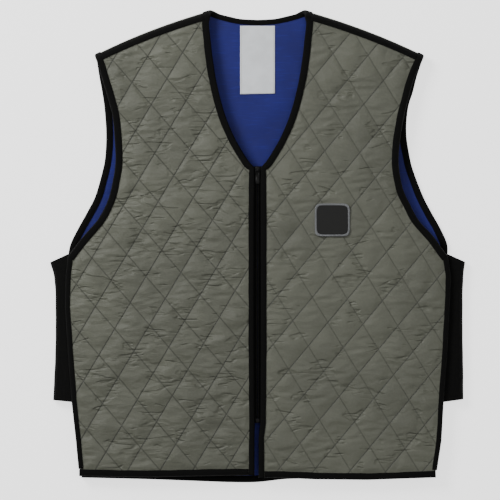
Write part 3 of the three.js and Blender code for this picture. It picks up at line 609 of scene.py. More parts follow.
def level(colour):
    """A colour as seen on a screen, 0 to 255, as the shader's linear colour."""
    share = np.asarray(colour, float) / 255
    linear = np.where(share <= 0.04045, share / 12.92, ((share + 0.055) / 1.055) ** 2.4)
    return (*linear.tolist(), 1)


def nylon(name, lines, stitch_depths_and_shades, creasing, tone):
    """Quilted nylon: fine weave, short sharp creases, and stitching pressed into grooves along both
    families of lines, with painted shade darkening each groove.
    """
    cloth = Finish(name)
    where, x, y, _ = cloth.place()
    groove = None
    thread = None
    nearest = None
    for (angle, spacing, phase), depth in zip(lines, stitch_depths_and_shades):
        turn = math.radians(angle)
        across = x * math.cos(turn) + y * math.sin(turn)
        along = y * math.cos(turn) - x * math.sin(turn)
        steps = across / (spacing * MM) - phase
        off = ((steps + 0.5).fraction() - 0.5).size() * (spacing * MM)
        dash = ((along / 0.0026).fraction() - 0.5).size()
        # How far the stitching lies down here, which also sets the painted shade in its groove
        sunk_and_shaded = (1 - off.between(0.0002, 0.0011)) * depth
        stitch = (1 - off.between(0.0002, 0.0005)) * (1 - dash.between(0.36, 0.46))
        groove = groove.most(sunk_and_shaded) if groove else sunk_and_shaded
        thread = thread.most(stitch) if thread else stitch
        nearest = nearest.least(off) if nearest else off
    broad = cloth.noise(where, 9.0, 2.0)
    fine = cloth.noise(where, 320.0, 2.0)
    crumple = cloth.noise(where, 75.0, 3.0, 0.6, stretch=(0.6, 1.5, 1.0))
    dents = cloth.noise(where, 34.0, 1.0, 0.5, stretch=(0.8, 1.2, 1.0))
    by_stitching = 1 - nearest.between(0.001, 0.014)
    folds = None
    for turn, scale, wide, least in CREASES:
        line = 1 - cloth.contour(where, turn, (0.4, 1.6, 1.0), scale, wide)
        where_from = cloth.noise(where, scale * 0.9, 2.0, 0.5, stretch=(0.8, 1.1, 1.0))
        calm = least + 0.09 * (1 - creasing)
        shown = (where_from + by_stitching * 0.05).between(calm, calm + 0.1)
        folds = folds.most(line * shown) if folds else line * shown
    warp = (x * 9000.0).sine() * (y * 9000.0).sine()
    shade = cloth.tint(broad.between(0.3, 0.7), level(tone[0]), level(tone[1]))
    shade = cloth.tint(fine.between(0.35, 0.75) * 0.18, shade, level(tone[2]))
    # Painted shade: each stitch groove is darkened towards the darkest tone, by its family's depth
    shade = cloth.tint(groove, shade, level(tone[3]))
    shade = cloth.tint(thread * 0.15, shade, level(tone[2]))
    relief = cloth.bump(warp, 0.00003)
    relief = cloth.bump(crumple, 0.0012 * creasing, relief)
    relief = cloth.bump(0 - folds, 0.0011, relief)
    relief = cloth.bump(dents, 0.005 * creasing, relief)
    relief = cloth.bump(thread - groove * 1.6, 0.0003, relief)
    return cloth.surface(
        Base_Color=shade, Roughness=0.48 + fine * 0.12, Normal=relief,
        Sheen_Weight=0.1, Sheen_Roughness=0.4,
    )


def taffeta(tone):
    """Blue lining: close plain weave with a soft sheen and faint slubs."""
    cloth = Finish("blue_taffeta")
    where, x, y, _ = cloth.place()
    broad = cloth.noise(where, 14.0, 3.0)
    slub = cloth.noise(where, 420.0, 1.0, stretch=(0.12, 1.0, 1.0))
    weave = (x * 11000.0).sine() * (y * 11000.0).sine()
    shade = cloth.tint(broad.between(0.3, 0.7), level(tone[0]), level(tone[1]))
    shade = cloth.tint(slub.between(0.5, 0.8) * 0.3, shade, level(tone[2]))
    relief = cloth.bump(weave, 0.00003)
    relief = cloth.bump(broad, 0.003, relief)
    return cloth.surface(
        Base_Color=shade, Roughness=0.5 + slub * 0.15, Normal=relief, Specular_IOR_Level=0.25,
    )


def grosgrain(tone):
    """Black binding: fine ribs across the tape and a row of lock stitches by its inner edge."""
    cloth = Finish("black_grosgrain")
    where, along, across = cloth.lay()
    ribs = (along * 7800.0).sine()
    dash = ((along / 0.0028).fraction() - 0.5).size()
    off = (across - 0.0017).size().least((across - 0.0225).size())
    thread = (1 - off.between(0.0002, 0.0005)) * (1 - dash.between(0.34, 0.46))
    groove = 1 - off.between(0.0, 0.001)
    fuzz = cloth.noise(where, 260.0, 3.0)
    shade = cloth.tint(fuzz.between(0.3, 0.8), level(tone[0]), level(tone[1]))
    shade = cloth.tint(thread * 0.7, shade, level(tone[2]))
    relief = cloth.bump(ribs, 0.00006)
    relief = cloth.bump(thread - groove * 1.4 + fuzz * 0.4, 0.0003, relief)
    return cloth.surface(
        Base_Color=shade, Roughness=0.86 + fuzz * 0.1, Normal=relief, Specular_IOR_Level=0.15,
    )


def rib_knit(tone):
    """Black knit: ribs down the panel, each with a chain of loops; painted light on the crowns of the ribs
    and painted shade in the valleys between them.
    """
    cloth = Finish("black_rib_knit")
    where, along, across = cloth.lay()
    rib_relief_and_shade = ((across / 0.0011).fraction() - 0.5).size() * 2.0
    loops = ((along / 0.0013 + rib_relief_and_shade * 0.5).fraction() - 0.5).size() * 2.0
    fuzz = cloth.noise(where, 300.0, 3.0)
    # Painted light and shade: the crowns of the ribs take the lighter tone, the valleys between them the
    # darker one
    shade = cloth.tint(rib_relief_and_shade.between(0.1, 0.9), level(tone[1]), level(tone[0]))
    shade = cloth.tint(fuzz.between(0.5, 0.9) * 0.4, shade, level(tone[2]))
    relief = cloth.bump(loops, 0.0001)
    relief = cloth.bump(1 - rib_relief_and_shade, 0.00025, relief)
    return cloth.surface(Base_Color=shade, Roughness=0.9, Normal=relief, Specular_IOR_Level=0.15)


def zip_tape_cloth(tone):
    """Herringbone twill tape beside the coil, with painted light on the ridges of the twill and painted
    shade in its hollows.
    """
    cloth = Finish("black_zip_tape")
    where, x, y, _ = cloth.place()
    slant = ((x / 0.0024).fraction() - 0.5).size() * 2.0
    twill = ((y / 0.0009 + slant * 1.2).fraction() - 0.5).size() * 2.0
    fuzz = cloth.noise(where, 300.0, 2.0)
    # Painted light and shade: the twill's ridges take the lighter tone and its hollows the darker one,
    # mixed with a random fuzz
    shade = cloth.tint(twill * 0.6 + fuzz * 0.3, level(tone[0]), level(tone[1]))
    return cloth.surface(
        Base_Color=shade, Roughness=0.85, Normal=cloth.bump(twill, 0.00015), Specular_IOR_Level=0.15,
    )


def coil_plastic(tone):
    """Polyester monofilament of the zip's coil, with scuffed crowns."""
    cloth = Finish("black_zip_coil")
    where, *_ = cloth.place()
    scuff = cloth.noise(where, 700.0, 3.0)
    shade = cloth.tint(scuff.between(0.45, 0.8), level(tone[0]), level(tone[1]))
    return cloth.surface(
        Base_Color=shade, Roughness=0.4 + scuff * 0.2, Normal=cloth.bump(scuff, 0.00004),
        Specular_IOR_Level=0.15,
    )


def enamelled_metal(tone):
    """Black enamel on cast metal, worn to bright metal on its high edges."""
    cloth = Finish("black_zip_metal")
    where, *_ = cloth.place()
    wear = cloth.noise(where, 420.0, 4.0, 0.6)
    edge = cloth.node("ShaderNodeNewGeometry", output="Pointiness").between(0.57, 0.7)
    bare = edge * wear.between(0.35, 0.6)
    shade = cloth.tint(bare, level(tone[0]), level(tone[1]))
    return cloth.surface(
        Base_Color=shade, Metallic=bare * 0.9, Roughness=0.42 + wear * 0.15,
        Normal=cloth.bump(wear, 0.00003), Specular_IOR_Level=0.2,
    )


def woven_label_cloth(tone):
    """White satin label: a close weave, with a row of stitches along each side, and painted shade
    darkening the groove under each row.
    """
    cloth = Finish("white_woven_label")
    where, x, y, _ = cloth.place()
    weave = (x * 9500.0).sine() * (y * 14000.0).sine()
    off = (x.size() - 0.0224).size()
    dash = ((y / 0.003).fraction() - 0.5).size()
    thread = (1 - off.between(0.0002, 0.0006)) * (1 - dash.between(0.3, 0.42))
    groove = 1 - off.between(0.0, 0.0012)
    soft = cloth.noise(where, 60.0, 2.0)
    shade = cloth.tint(soft.between(0.3, 0.7), level(tone[0]), level(tone[1]))
    # Painted shade: the groove beside each row of stitches is darkened towards the darker tone
    shade = cloth.tint(groove * 0.35, shade, level(tone[2]))
    shade = cloth.tint(thread * 0.5, shade, level(tone[0]))
    relief = cloth.bump(weave, 0.00004)
    relief = cloth.bump(thread - groove, 0.0003, relief)
    return cloth.surface(Base_Color=shade, Roughness=0.55, Normal=relief, Sheen_Weight=0.1)


def badge_twill(tone):
    """Close twill of the badge's field, with painted light on its ridges and painted shade in its hollows.
    """
    cloth = Finish("badge_twill")
    where, x, y, _ = cloth.place()
    twill = (((x + y) / 0.0011).fraction() - 0.5).size() * 2.0
    fuzz = cloth.noise(where, 260.0, 2.0)
    # Painted light and shade: the twill's ridges take the lighter tone and its hollows the darker one,
    # mixed with a random fuzz
    shade = cloth.tint(twill * 0.5 + fuzz * 0.4, level(tone[0]), level(tone[1]))
    return cloth.surface(Base_Color=shade, Roughness=0.75, Normal=cloth.bump(twill, 0.00014))


def overlock_thread(tone):
    """Rim threads laid side by side across the badge's edge."""
    cloth = Finish("badge_overlock")
    where, along, across = cloth.lay()
    strand = ((along / 0.00075 + across * 60.0).fraction() - 0.5).size() * 2.0
    fuzz = cloth.noise(where, 300.0, 2.0)
    shade = cloth.tint(strand.between(0.2, 0.9), level(tone[1]), level(tone[0]))
    shade = cloth.tint(fuzz * 0.3, shade, level(tone[1]))
    return cloth.surface(Base_Color=shade, Roughness=0.7, Normal=cloth.bump(1 - strand, 0.0003))


def studio_floor(tone):
    paint = Finish("studio_floor")
    where, *_ = paint.place()
    grain = paint.noise(where, 40.0, 2.0)
    shade = paint.tint(grain * 0.04, level(tone), level([c - 6 for c in tone]))
    return paint.surface(
        Base_Color=shade, Roughness=0.9, Emission_Color=(1.0, 1.0, 1.0, 1.0), Emission_Strength=1.6,
    )


def tape_section(width):
    """Folded tape across its edge: x into the panel, then the layer, round the outside and back in.

    The outer skin is two flat legs joined by half an ellipse, and the inner skin is the slot.
    """
    turn = np.linspace(-0.5 * math.pi, 0.5 * math.pi, 7)
    middle = (TAPE_OUTER + TAPE_INNER) / 2
    half = (TAPE_OUTER - TAPE_INNER) / 2
    nose = np.stack([2.2 - 2.2 * np.cos(turn), middle + half * np.sin(turn)], axis=1)
    rim = 0.35
    outer = [
        [width, TAPE_INNER + rim], [width - rim, TAPE_INNER], *nose.tolist(),
        [width * 0.55, TAPE_OUTER - 0.02], [width - rim, TAPE_OUTER - 0.1], [width, TAPE_OUTER - rim],
    ]
    slot = [[width, GRIP_OUTER], [1.2, GRIP_OUTER], [1.2, GRIP_INNER], [width, GRIP_INNER]]
    return np.array(outer + slot)


def tape_rows(path, normals, widths, place):
    """Section after section along a path, with a slow unevenness in width and thickness."""
    sections = np.stack([tape_section(width) for width in widths])
    run = run_of(path)
    wave = np.sin(run / 13.0) + np.sin(run / 5.7 + 1.3) + np.sin(run / 31.0 + 2.1)
    leg = np.clip(sections[..., 0] / 4, 0, 1)
    across = sections[..., 0] + leg * 0.11 * wave[:, None]
    outside = (sections[..., 1] >= TAPE_OUTER - 0.4) | (sections[..., 1] <= TAPE_INNER + 0.4)
    swell = 0.07 * (np.sin(run / 4.1) + np.sin(run / 9.7 + 0.7))[:, None]
    layer = sections[..., 1] + np.where(outside, np.sign(sections[..., 1]) * (swell - 0.07), 0)
    at = path[:, None] + normals[:, None] * across[..., None]
    return place(at, layer), run


def tape_map(run, width):
    """The map of a tape: along it by its run, across it by the distance round its section."""
    across = run_of(tape_section(width))
    return np.stack(np.broadcast_arrays(run[:, None], across[None]), axis=-1).reshape(-1, 2)


def add_tape(name, path, normals, widths, place, material):
    """One binding: evened path, its rows, and a map that runs along and across the tape."""
    rows, run = tape_rows(path, normals, widths, place)
    uv = tape_map(run, float(np.mean(widths)))
    piece = loft(name.replace("binding", "tape"), rows, material, uv=uv)
    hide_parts(name)
    return piece


def squared_over_fold(half, path, normals, width):
    """The normals, but along the shoulder over the fold, so that the tape is cut straight across."""
    in_fold = (path[:, 1] >= 0) & (path[:, 1] <= half.wrap)
    straight = np.stack([1 / normals[:, 0], np.zeros(len(path))], axis=1)
    return blurred(np.where(in_fold[:, None], straight, normals), width)


def chart_tape(name, half, path, turn, widths_at, material):
    """A binding along an edge drawn in the shoulder chart. Over the fold it is cut straight across."""
    path = even(path, int(run_of(path)[-1] / 2.6))
    normals = squared_over_fold(half, path, side_normals(path, turn), 2.6)
    place = lambda at, layer: half.place(at[..., 0], at[..., 1], layer)
    return add_tape(name, path, normals, widths_at(path), place, material)


def flat_tape(name, sheet, path, turn, width, material):
    path = even(path, int(run_of(path)[-1] / 2.6))
    normals = blurred(side_normals(path, turn), 2)
    return add_tape(name, path, normals, np.full(len(path), width), sheet, material)


def trimmed(path, start, end):
    """The path with its ends drawn back by two distances."""
    run = run_of(path)
    fine = even(path, 400)
    at = run_of(fine)
    kept = fine[(at > start) & (at < run[-1] - end)]
    first = [np.interp(start, run, column) for column in path.T]
    last = [np.interp(run[-1] - end, run, column) for column in path.T]
    return np.vstack([[first], kept, [last]])


def front_outline(half, inset):
    """The four edges of a front panel in plan, drawn in by inset: hem, shoulder, centre and outside."""
    side = half.side
    centre = np.vstack([half.centre[:-1], half.neck_front])
    outside = np.vstack([half.side_front[::-1][:-1], half.armhole_front])
    hem = np.vstack([half.front_hem, [half.centre[0]]])[::-1]
    centre = even(centre, 500)
    outside = even(outside, 500)
    centre = centre + side_normals(centre, -side) * inset
    outside = outside + side_normals(outside, side) * inset
    hem = even(hem, 200) + [0, inset]
    s = np.linspace(FRONT_NECK_RUN + inset, half.length - inset, 200)
    top = half.axis(s) - half.inward
    corners = [hem[0] + [side * inset, 0], hem[-1] - [side * inset, 0], top[0], top[-1]]
    centre[0], centre[-1] = corners[0], corners[2]
    outside[0], outside[-1] = corners[1], corners[3]
    hem[0], hem[-1] = corners[0], corners[1]
    return hem, top, centre, outside


def front_grid(half, rows, columns, inset=EDGE_INSET):
    hem, top, centre, outside = front_outline(half, inset)
    return coons(even(hem, columns), even(top, columns), even(centre, rows), even(outside, rows))


def front_edges(half):
    """The bound edges of a front panel with their bindings' widths."""
    shoulder = half.axis(np.linspace(0, half.length, 20)) - half.inward * half.reach
    return [
        (half.centre, BINDING_WIDTHS["centre"]), (half.neck_front, BINDING_WIDTHS["neck"]),
        (half.armhole_front, BINDING_WIDTHS["armhole"]), (half.side_front, BINDING_WIDTHS["side"]),
        (np.vstack([half.front_hem, half.centre[:1]]), BINDING_WIDTHS["hem"]),
        (shoulder, SEAM_TAPE_REACH),
    ]


def quilt_layer(name, points, edges, valley, rise, gather, seed):
    """Layer of a quilted face: seam height at the bindings, then valleys, pillows and gathers."""
    x, y = points[..., 0], points[..., 1]
    open_share = np.ones_like(x)
    for line, width in edges:
        open_share = np.minimum(open_share, smooth_step((edge_distance(points, line) - width) / 7))
    puff = pillow(QUILTING[name], x, y, 6.5)
    lines = [line for line, _ in edges[:5]]
    folds = gathers(name, x, y, lines, seed) * gather
    near = np.minimum(*line_distances(QUILTING[name], x, y))
    folds = folds * (0.35 + 0.65 * smooth_step(near / 5))
    return SEAM + open_share * (valley - SEAM + rise * puff + folds * (0.4 + 0.6 * puff)), open_share


def settled(sewn, pins, outward, sizes):
    """Cloth simulation of one quilted face, with its stitching and edges held.

    The cloth starts longer than it lies, by the spare length and by a slow uneven share of it, and
    is drawn in to its sewn size while a light pressure from inside fills the diamonds. What the
    cloth does off the stitching is kept, smoothed over about one cell.
    """
    rows, columns = sewn.shape[:2]
    flat = sewn.reshape(-1, 3) * MM
    middle = (flat.min(axis=0) + flat.max(axis=0)) / 2
    loose = middle + (flat - middle) * [1 + sizes.spare_across, 1 + sizes.spare_along, 1]
    x, y = sewn[..., 0].ravel(), sewn[..., 1].ravel()
    uneven = sizes.unevenness
    loose[:, 1] += uneven * np.sin(y / 14 + 1.8 * np.sin(x / 37 + 0.6) + 1.1 * np.sin(y / 53))
    loose[:, 0] += 0.2 * uneven * np.sin(x / 12 + 1.8 * np.sin(y / 31) + 2)
    faces = cell_faces(rows, columns)
    a, b, c = sewn.reshape(-1, 3)[faces[len(faces) // 2, :3]]
    if np.cross(b - a, c - b)[2] * outward < 0:
        faces = faces[:, ::-1]
    mesh = bpy.data.meshes.new("settling")
    mesh.from_pydata(loose.tolist(), [], faces.tolist())
    cloth = bpy.data.objects.new("settling", mesh)
    scene = bpy.context.scene
    scene.collection.objects.link(cloth)
    cloth.shape_key_add(name="loose")
    drawn_in = cloth.shape_key_add(name="sewn", from_mix=False)
    drawn_in.data.foreach_set("co", flat.astype(np.float32).ravel())
    for moment, share in ((1, 0.0), (DRAWN_IN_FRAME, 1.0)):
        drawn_in.value = share
        drawn_in.keyframe_insert("value", frame=moment)
    held = cloth.vertex_groups.new(name="sewn")
    for weight in (1.0, 0.66, 0.33):
        chosen = np.nonzero(np.abs(pins.ravel() - weight) < 0.17)[0]
        if len(chosen):
            held.add(chosen.tolist(), weight, "REPLACE")
    modifier = cloth.modifiers.new("settling", "CLOTH")
    settings = modifier.settings
    settings.vertex_group_mass = "sewn"
    settings.quality = 4
    settings.mass = 0.2
    for name, stiffness in STIFFNESS.items():
        setattr(settings, name, stiffness)
    settings.use_pressure = True
    settings.uniform_pressure_force = sizes.pressure
    settings.effector_weights.gravity = 0
    modifier.point_cache.frame_start = 1
    modifier.point_cache.frame_end = LAST_FRAME
    for moment in range(1, LAST_FRAME + 1):
        scene.frame_set(moment)
    result = cloth.evaluated_get(bpy.context.evaluated_depsgraph_get()).data
    found = np.empty(len(result.vertices) * 3, np.float32)
    result.vertices.foreach_get("co", found)
    action = mesh.shape_keys.animation_data.action
    bpy.data.objects.remove(cloth)
    bpy.data.meshes.remove(mesh)
    bpy.data.actions.remove(action)
    scene.frame_set(1)
    move = found.reshape(rows, columns, 3) / MM - sewn
    move = np.clip(move, -FARTHEST_MOVE, FARTHEST_MOVE) * smooth_step((1 - pins) * 1.4)[..., None]
    move = blurred(move, 0.55)
    move = blurred(move.transpose(1, 0, 2), 0.55).transpose(1, 0, 2)
    return sewn + move * (1 - smooth_step((pins - 0.95) / 0.05))[..., None]


def pinned(name, points, open_share):
    """1 on the stitching and under the bindings, falling to 0 a little way off."""
    near = np.minimum(*line_distances(QUILTING[name], points[..., 0], points[..., 1]))
    pins = np.clip((1.9 - near) / 0.8, 0, 1)
    pins = np.maximum(pins, open_share < 0.02)
    pins[[0, -1]] = 1
    pins[:, [0, -1]] = 1
    return pins


def back_grid(rows, fold_rows, columns, middle_columns, inset):
    """The back sheet in plan and in the charts: a grid whose outer columns run on over the shoulders.

    Returns plan points of the body rows, chart points of the fold rows and a mask of real cells.
    """
    blocks = []
    folds = []
    for half in HALVES:
        side = half.side
        neck_foot = half.axis(-BACK_NECK_RUN + inset)
        hem = even(half.back_hem, 400)
        split = neck_foot[0]
        inner_hem = np.array([split, np.interp(abs(split), np.abs(hem[::-1, 0]), hem[::-1, 1]) + inset])
        outer = even(np.vstack([half.side_back[::-1][:-1], half.armhole_back[::-1]]), 600)
        outer = outer + side_normals(outer, side) * inset
        outer[0] = half.back_hem[0] + [-side * inset, inset]
        outer[-1] = half.axis(half.length - inset)
        cut = np.abs(hem[:, 0]) >= abs(split)
        low = np.vstack([[inner_hem], hem[cut][::-1] + [0, inset]])
        low[-1] = outer[0]
        s = np.linspace(-BACK_NECK_RUN + inset, half.length - inset, 200)
        body = coons(
            even(low, columns), even(half.axis(s), columns),
            even(np.array([inner_hem, neck_foot]), rows), even(outer, rows),
        )
        blocks.append(body)
        v = np.linspace(0, half.wrap - math.radians(14) * half.radius, fold_rows + 1)[1:]
        share = v / half.wrap
        neck_s = (FRONT_NECK_RUN + BACK_NECK_RUN) * share - BACK_NECK_RUN + inset
        neck_s = neck_s + NECK_BEND * 4 * share * (1 - share)
        u = np.linspace(0, 1, columns)
        s = neck_s[:, None] * (1 - u) + (half.length - inset) * u
        folds.append(np.stack([s, np.broadcast_to(v[:, None], s.shape)], axis=-1))
    right, left = blocks
    neck = even(np.vstack([
        HALVES[0].neck_back[:-1] - [0, inset], HALVES[1].neck_back[::-1] - [0, inset],
    ]), 400)
    neck[0], neck[-1] = right[-1, 0], left[-1, 0]
    hem = np.vstack([even(half.back_hem, 200)[::direction] + [0, inset]
                     for half, direction in zip(HALVES, (1, -1))])
    hem = hem[(hem[:, 0] > right[0, 0, 0]) & (hem[:, 0] < left[0, 0, 0])]
    hem = np.vstack([right[0, 0], hem, left[0, 0]])
    middle = coons(
        even(hem, middle_columns), even(neck, middle_columns), right[:, 0], left[:, 0],
    )
    body = np.concatenate([right[:, ::-1], middle[:, 1:-1], left], axis=1)
    return body, folds


def back_sheet(rows, fold_rows, columns, middle_columns, inset, layer_at):
    """Points of a layer of the back over the whole grid, and the cells that are cloth.

    layer_at takes plan points and the share of the way over the fold, and gives the layer.
    """
    body, folds = back_grid(rows, fold_rows, columns, middle_columns, inset)
    wide = body.shape[1]
    layer = layer_at(body, np.zeros(body.shape[:2]))
    points = np.zeros((rows + fold_rows, wide, 3))
    points[:rows] = on_back(body, 0)
    points[:rows, :, 2] = BACK_FACE - layer
    for half, fold in zip(HALVES, folds):
        over = fold[..., 1] / half.wrap
        flat = half.place(fold[..., 0], fold[..., 1], SEAM)[..., :2]
        placed = half.place(fold[..., 0], fold[..., 1], layer_at(flat, over))
        if half.name == "right":
            points[rows:, :columns] = placed[:, ::-1]
        else:
            points[rows:, -columns:] = placed
    keep = np.ones((rows + fold_rows - 1, wide - 1), bool)
    keep[rows - 1:, columns - 1:wide - columns] = False
    return points, keep


class VestSizes(bpy.types.PropertyGroup):
    front_rise: bpy.props.FloatProperty(
        name="Front puff", description="How far the fronts' diamonds stand above their stitching",
        default=0.0015, unit="LENGTH")
    spare_across: bpy.props.FloatProperty(
        name="Spare across", description="Share by which the shell is cut too wide for its stitching",
        default=0.005, subtype="FACTOR")
    spare_along: bpy.props.FloatProperty(
        name="Spare along", description="Share by which the shell is cut too long for its stitching",
        default=0.015, subtype="FACTOR")
    unevenness: bpy.props.FloatProperty(
        name="Unevenness", description="How unevenly the spare cloth is spread",
        default=0.00022, unit="LENGTH")
    pressure: bpy.props.FloatProperty(
        name="Filling", description="Pressure with which the filling swells the diamonds", default=20.0)
    back_rise: bpy.props.FloatProperty(
        name="Back puff",
        description="How far the back's diamonds would stand before the floor presses them",
        default=0.0021, unit="LENGTH")
    gather: bpy.props.FloatProperty(
        name="Gathers", description="Strength of the small gathers beside the stitching",
        default=1.0, subtype="FACTOR")
    tooth_pitch: bpy.props.FloatProperty(
        name="Tooth pitch", description="Distance from one turn of the zip's coil to the next",
        default=0.0013, unit="LENGTH")


class VestColours(bpy.types.PropertyGroup):
    nylon: bpy.props.FloatVectorProperty(
        name="Nylon", description="Colour of the quilted shell, as seen on a screen",
        default=(0.35, 0.357, 0.31), subtype="COLOR_GAMMA")
    lining: bpy.props.FloatVectorProperty(
        name="Lining", description="Colour of the blue lining, as seen on a screen",
        default=(0.118, 0.13, 0.43), subtype="COLOR_GAMMA")
    black: bpy.props.FloatVectorProperty(
        name="Black trim", description="Colour of the bindings and the knit, as seen on a screen",
        default=(0.045, 0.045, 0.042), subtype="COLOR_GAMMA")
    label: bpy.props.FloatVectorProperty(
        name="Label", description="Colour of the neck label, as seen on a screen",
        default=(0.96, 0.975, 0.99), subtype="COLOR_GAMMA")


class StageLook(bpy.types.PropertyGroup):
    floor: bpy.props.FloatVectorProperty(
        name="Floor", description="Colour of the floor, as seen on a screen",
        default=(0.97, 0.97, 0.97), subtype="COLOR_GAMMA")
    key_power: bpy.props.FloatProperty(
        name="Key light", description="Power of the large soft light above the vest's right shoulder",
        default=46.0, unit="POWER")
    sky: bpy.props.FloatProperty(
        name="Surround", description="Strength of the even light from all round", default=0.3)


def shades(colour, *factors):
    """Shades of a picked colour for a material, 0 to 255, one for each factor."""
    base = np.array(colour) * 255
    return [tuple(np.clip(base * factor, 0, 255)) for factor in factors]


def made_once(name, make):
    return bpy.data.materials.get(name) or make()


def binding_cloth(context):
    tones = shades(context.scene.vest_colours.black, 0.8, 1.15, 1.9)
    return made_once("black_grosgrain", lambda: grosgrain(tones))


class VEST_OT_fronts(bpy.types.Operator):
    """Quilt both front panels"""
    bl_idname = "vest.fronts"
    bl_label = "Quilted fronts"

    def execute(self, context):
        sizes = context.scene.vest_sizes
        # The last tone is the painted shade in the stitch grooves
        tones = shades(context.scene.vest_colours.nylon, 0.96, 1.04, 1.25, 0.42)
        for half, seed in zip(HALVES, (11, 23)):
            rows, columns = 300, 112
            flat = front_grid(half, rows, columns)
            layer, open_share = quilt_layer(
                half.name, flat, front_edges(half), FRONT_VALLEY, sizes.front_rise / MM,
                sizes.gather * 0.25, seed,
            )
            skin = on_front(flat, layer)
            skin = settled(skin, pinned(half.name, flat, open_share), 1, sizes)
            material = nylon(
                f"quilted_nylon_{half.name}", QUILTING[half.name], STITCH_DEPTH_AND_SHADE[half.name],
                CREASING[half.name], tones,
            )
            quilt = add_shell(
                f"quilted_front_{half.name}", skin, on_front(flat, SHELL_INNER),
                cell_faces(rows, columns), material,
            )
            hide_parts(f"front_shell_{half.name}")
        return {"FINISHED"}


class VEST_OT_back(bpy.types.Operator):
    """Quilt the back, with the two rolls that go over the shoulders"""
    bl_idname = "vest.back"
    bl_label = "Quilted back"

    def execute(self, context):
        sizes = context.scene.vest_sizes
        # The last tone is the painted shade in the stitch grooves
        tones = shades(context.scene.vest_colours.nylon, 0.96, 1.04, 1.25, 0.42)
        edges = []
        for half in HALVES:
            edges += [
                (half.neck_back, BINDING_WIDTHS["back_neck"] + 2),
                (half.armhole_back, BINDING_WIDTHS["armhole"]),
                (half.side_back, BINDING_WIDTHS["side"]), (half.back_hem, BINDING_WIDTHS["hem"]),
            ]

        def outer(points, over):
            layer, _ = quilt_layer(
                "back", points, edges, BACK_VALLEY, sizes.back_rise / MM, sizes.gather * 0.2, 37,
            )
            calm = smooth_step(1 - over * 6)
            return np.minimum(SEAM + (layer - SEAM) * calm, BACK_FACE)

        shape = (236, 12, 74, 42, EDGE_INSET)
        skin, keep = back_sheet(*shape, outer)
        under, _ = back_sheet(*shape, lambda points, over: np.full(over.shape, SHELL_INNER))
        rows, columns = skin.shape[:2]
        body = skin[:shape[0]]
        open_share = np.ones(body.shape[:2])
        for line, width in edges:
            open_share = np.minimum(open_share, edge_distance(body[..., :2], line) > width)
        body = settled(body, pinned("back", body, open_share), -1, sizes)
        body[..., 2] = np.maximum(body[..., 2], 0)
        skin[:shape[0]] = body
        material = nylon(
            "quilted_nylon_back", QUILTING["back"], STITCH_DEPTH_AND_SHADE["back"], CREASING["back"], tones,
        )
        quilt = add_shell(
            "quilted_back", skin, under, cell_faces(rows, columns, keep), material,
        )
        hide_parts("back_shell")
        return {"FINISHED"}


class VEST_OT_linings(bpy.types.Operator):
    """Line the fronts and the back in blue"""
    bl_idname = "vest.linings"
    bl_label = "Linings"

    def execute(self, context):
        tones = shades(context.scene.vest_colours.lining, 0.92, 1.06, 1.4)
        material = taffeta(tones)
        for half in HALVES:
            rows, columns = 150, 56
            flat = front_grid(half, rows, columns, 1.9)
            x, y = flat[..., 0], flat[..., 1]
            wave = 0.35 * (1 + np.sin(x / 19 + 2 * np.sin(y / 41)) * np.sin(y / 33))
            lining = add_shell(
                f"lining_front_{half.name}", on_front(flat, LINING), on_front(flat, -wave * 0.5),
                cell_faces(rows, columns), material,
            )
            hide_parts(f"front_lining_{half.name}")

        def inside(points, over):
            x, y = points[..., 0], points[..., 1]
            wave = 0.22 * (1 + np.sin(x / 23 + 1.7 * np.sin(y / 47)) * np.sin(y / 37 + 0.4))
            return -wave * smooth_step(1 - over * 6)

        shape = (150, 10, 46, 26, 1.9)
        skin, keep = back_sheet(*shape, lambda points, over: np.full(over.shape, LINING))
        face, _ = back_sheet(*shape, inside)
        rows, columns = skin.shape[:2]
        lining = add_shell(
            "lining_back", skin, face, cell_faces(rows, columns, keep), material,
        )
        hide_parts("back_lining")
        return {"FINISHED"}


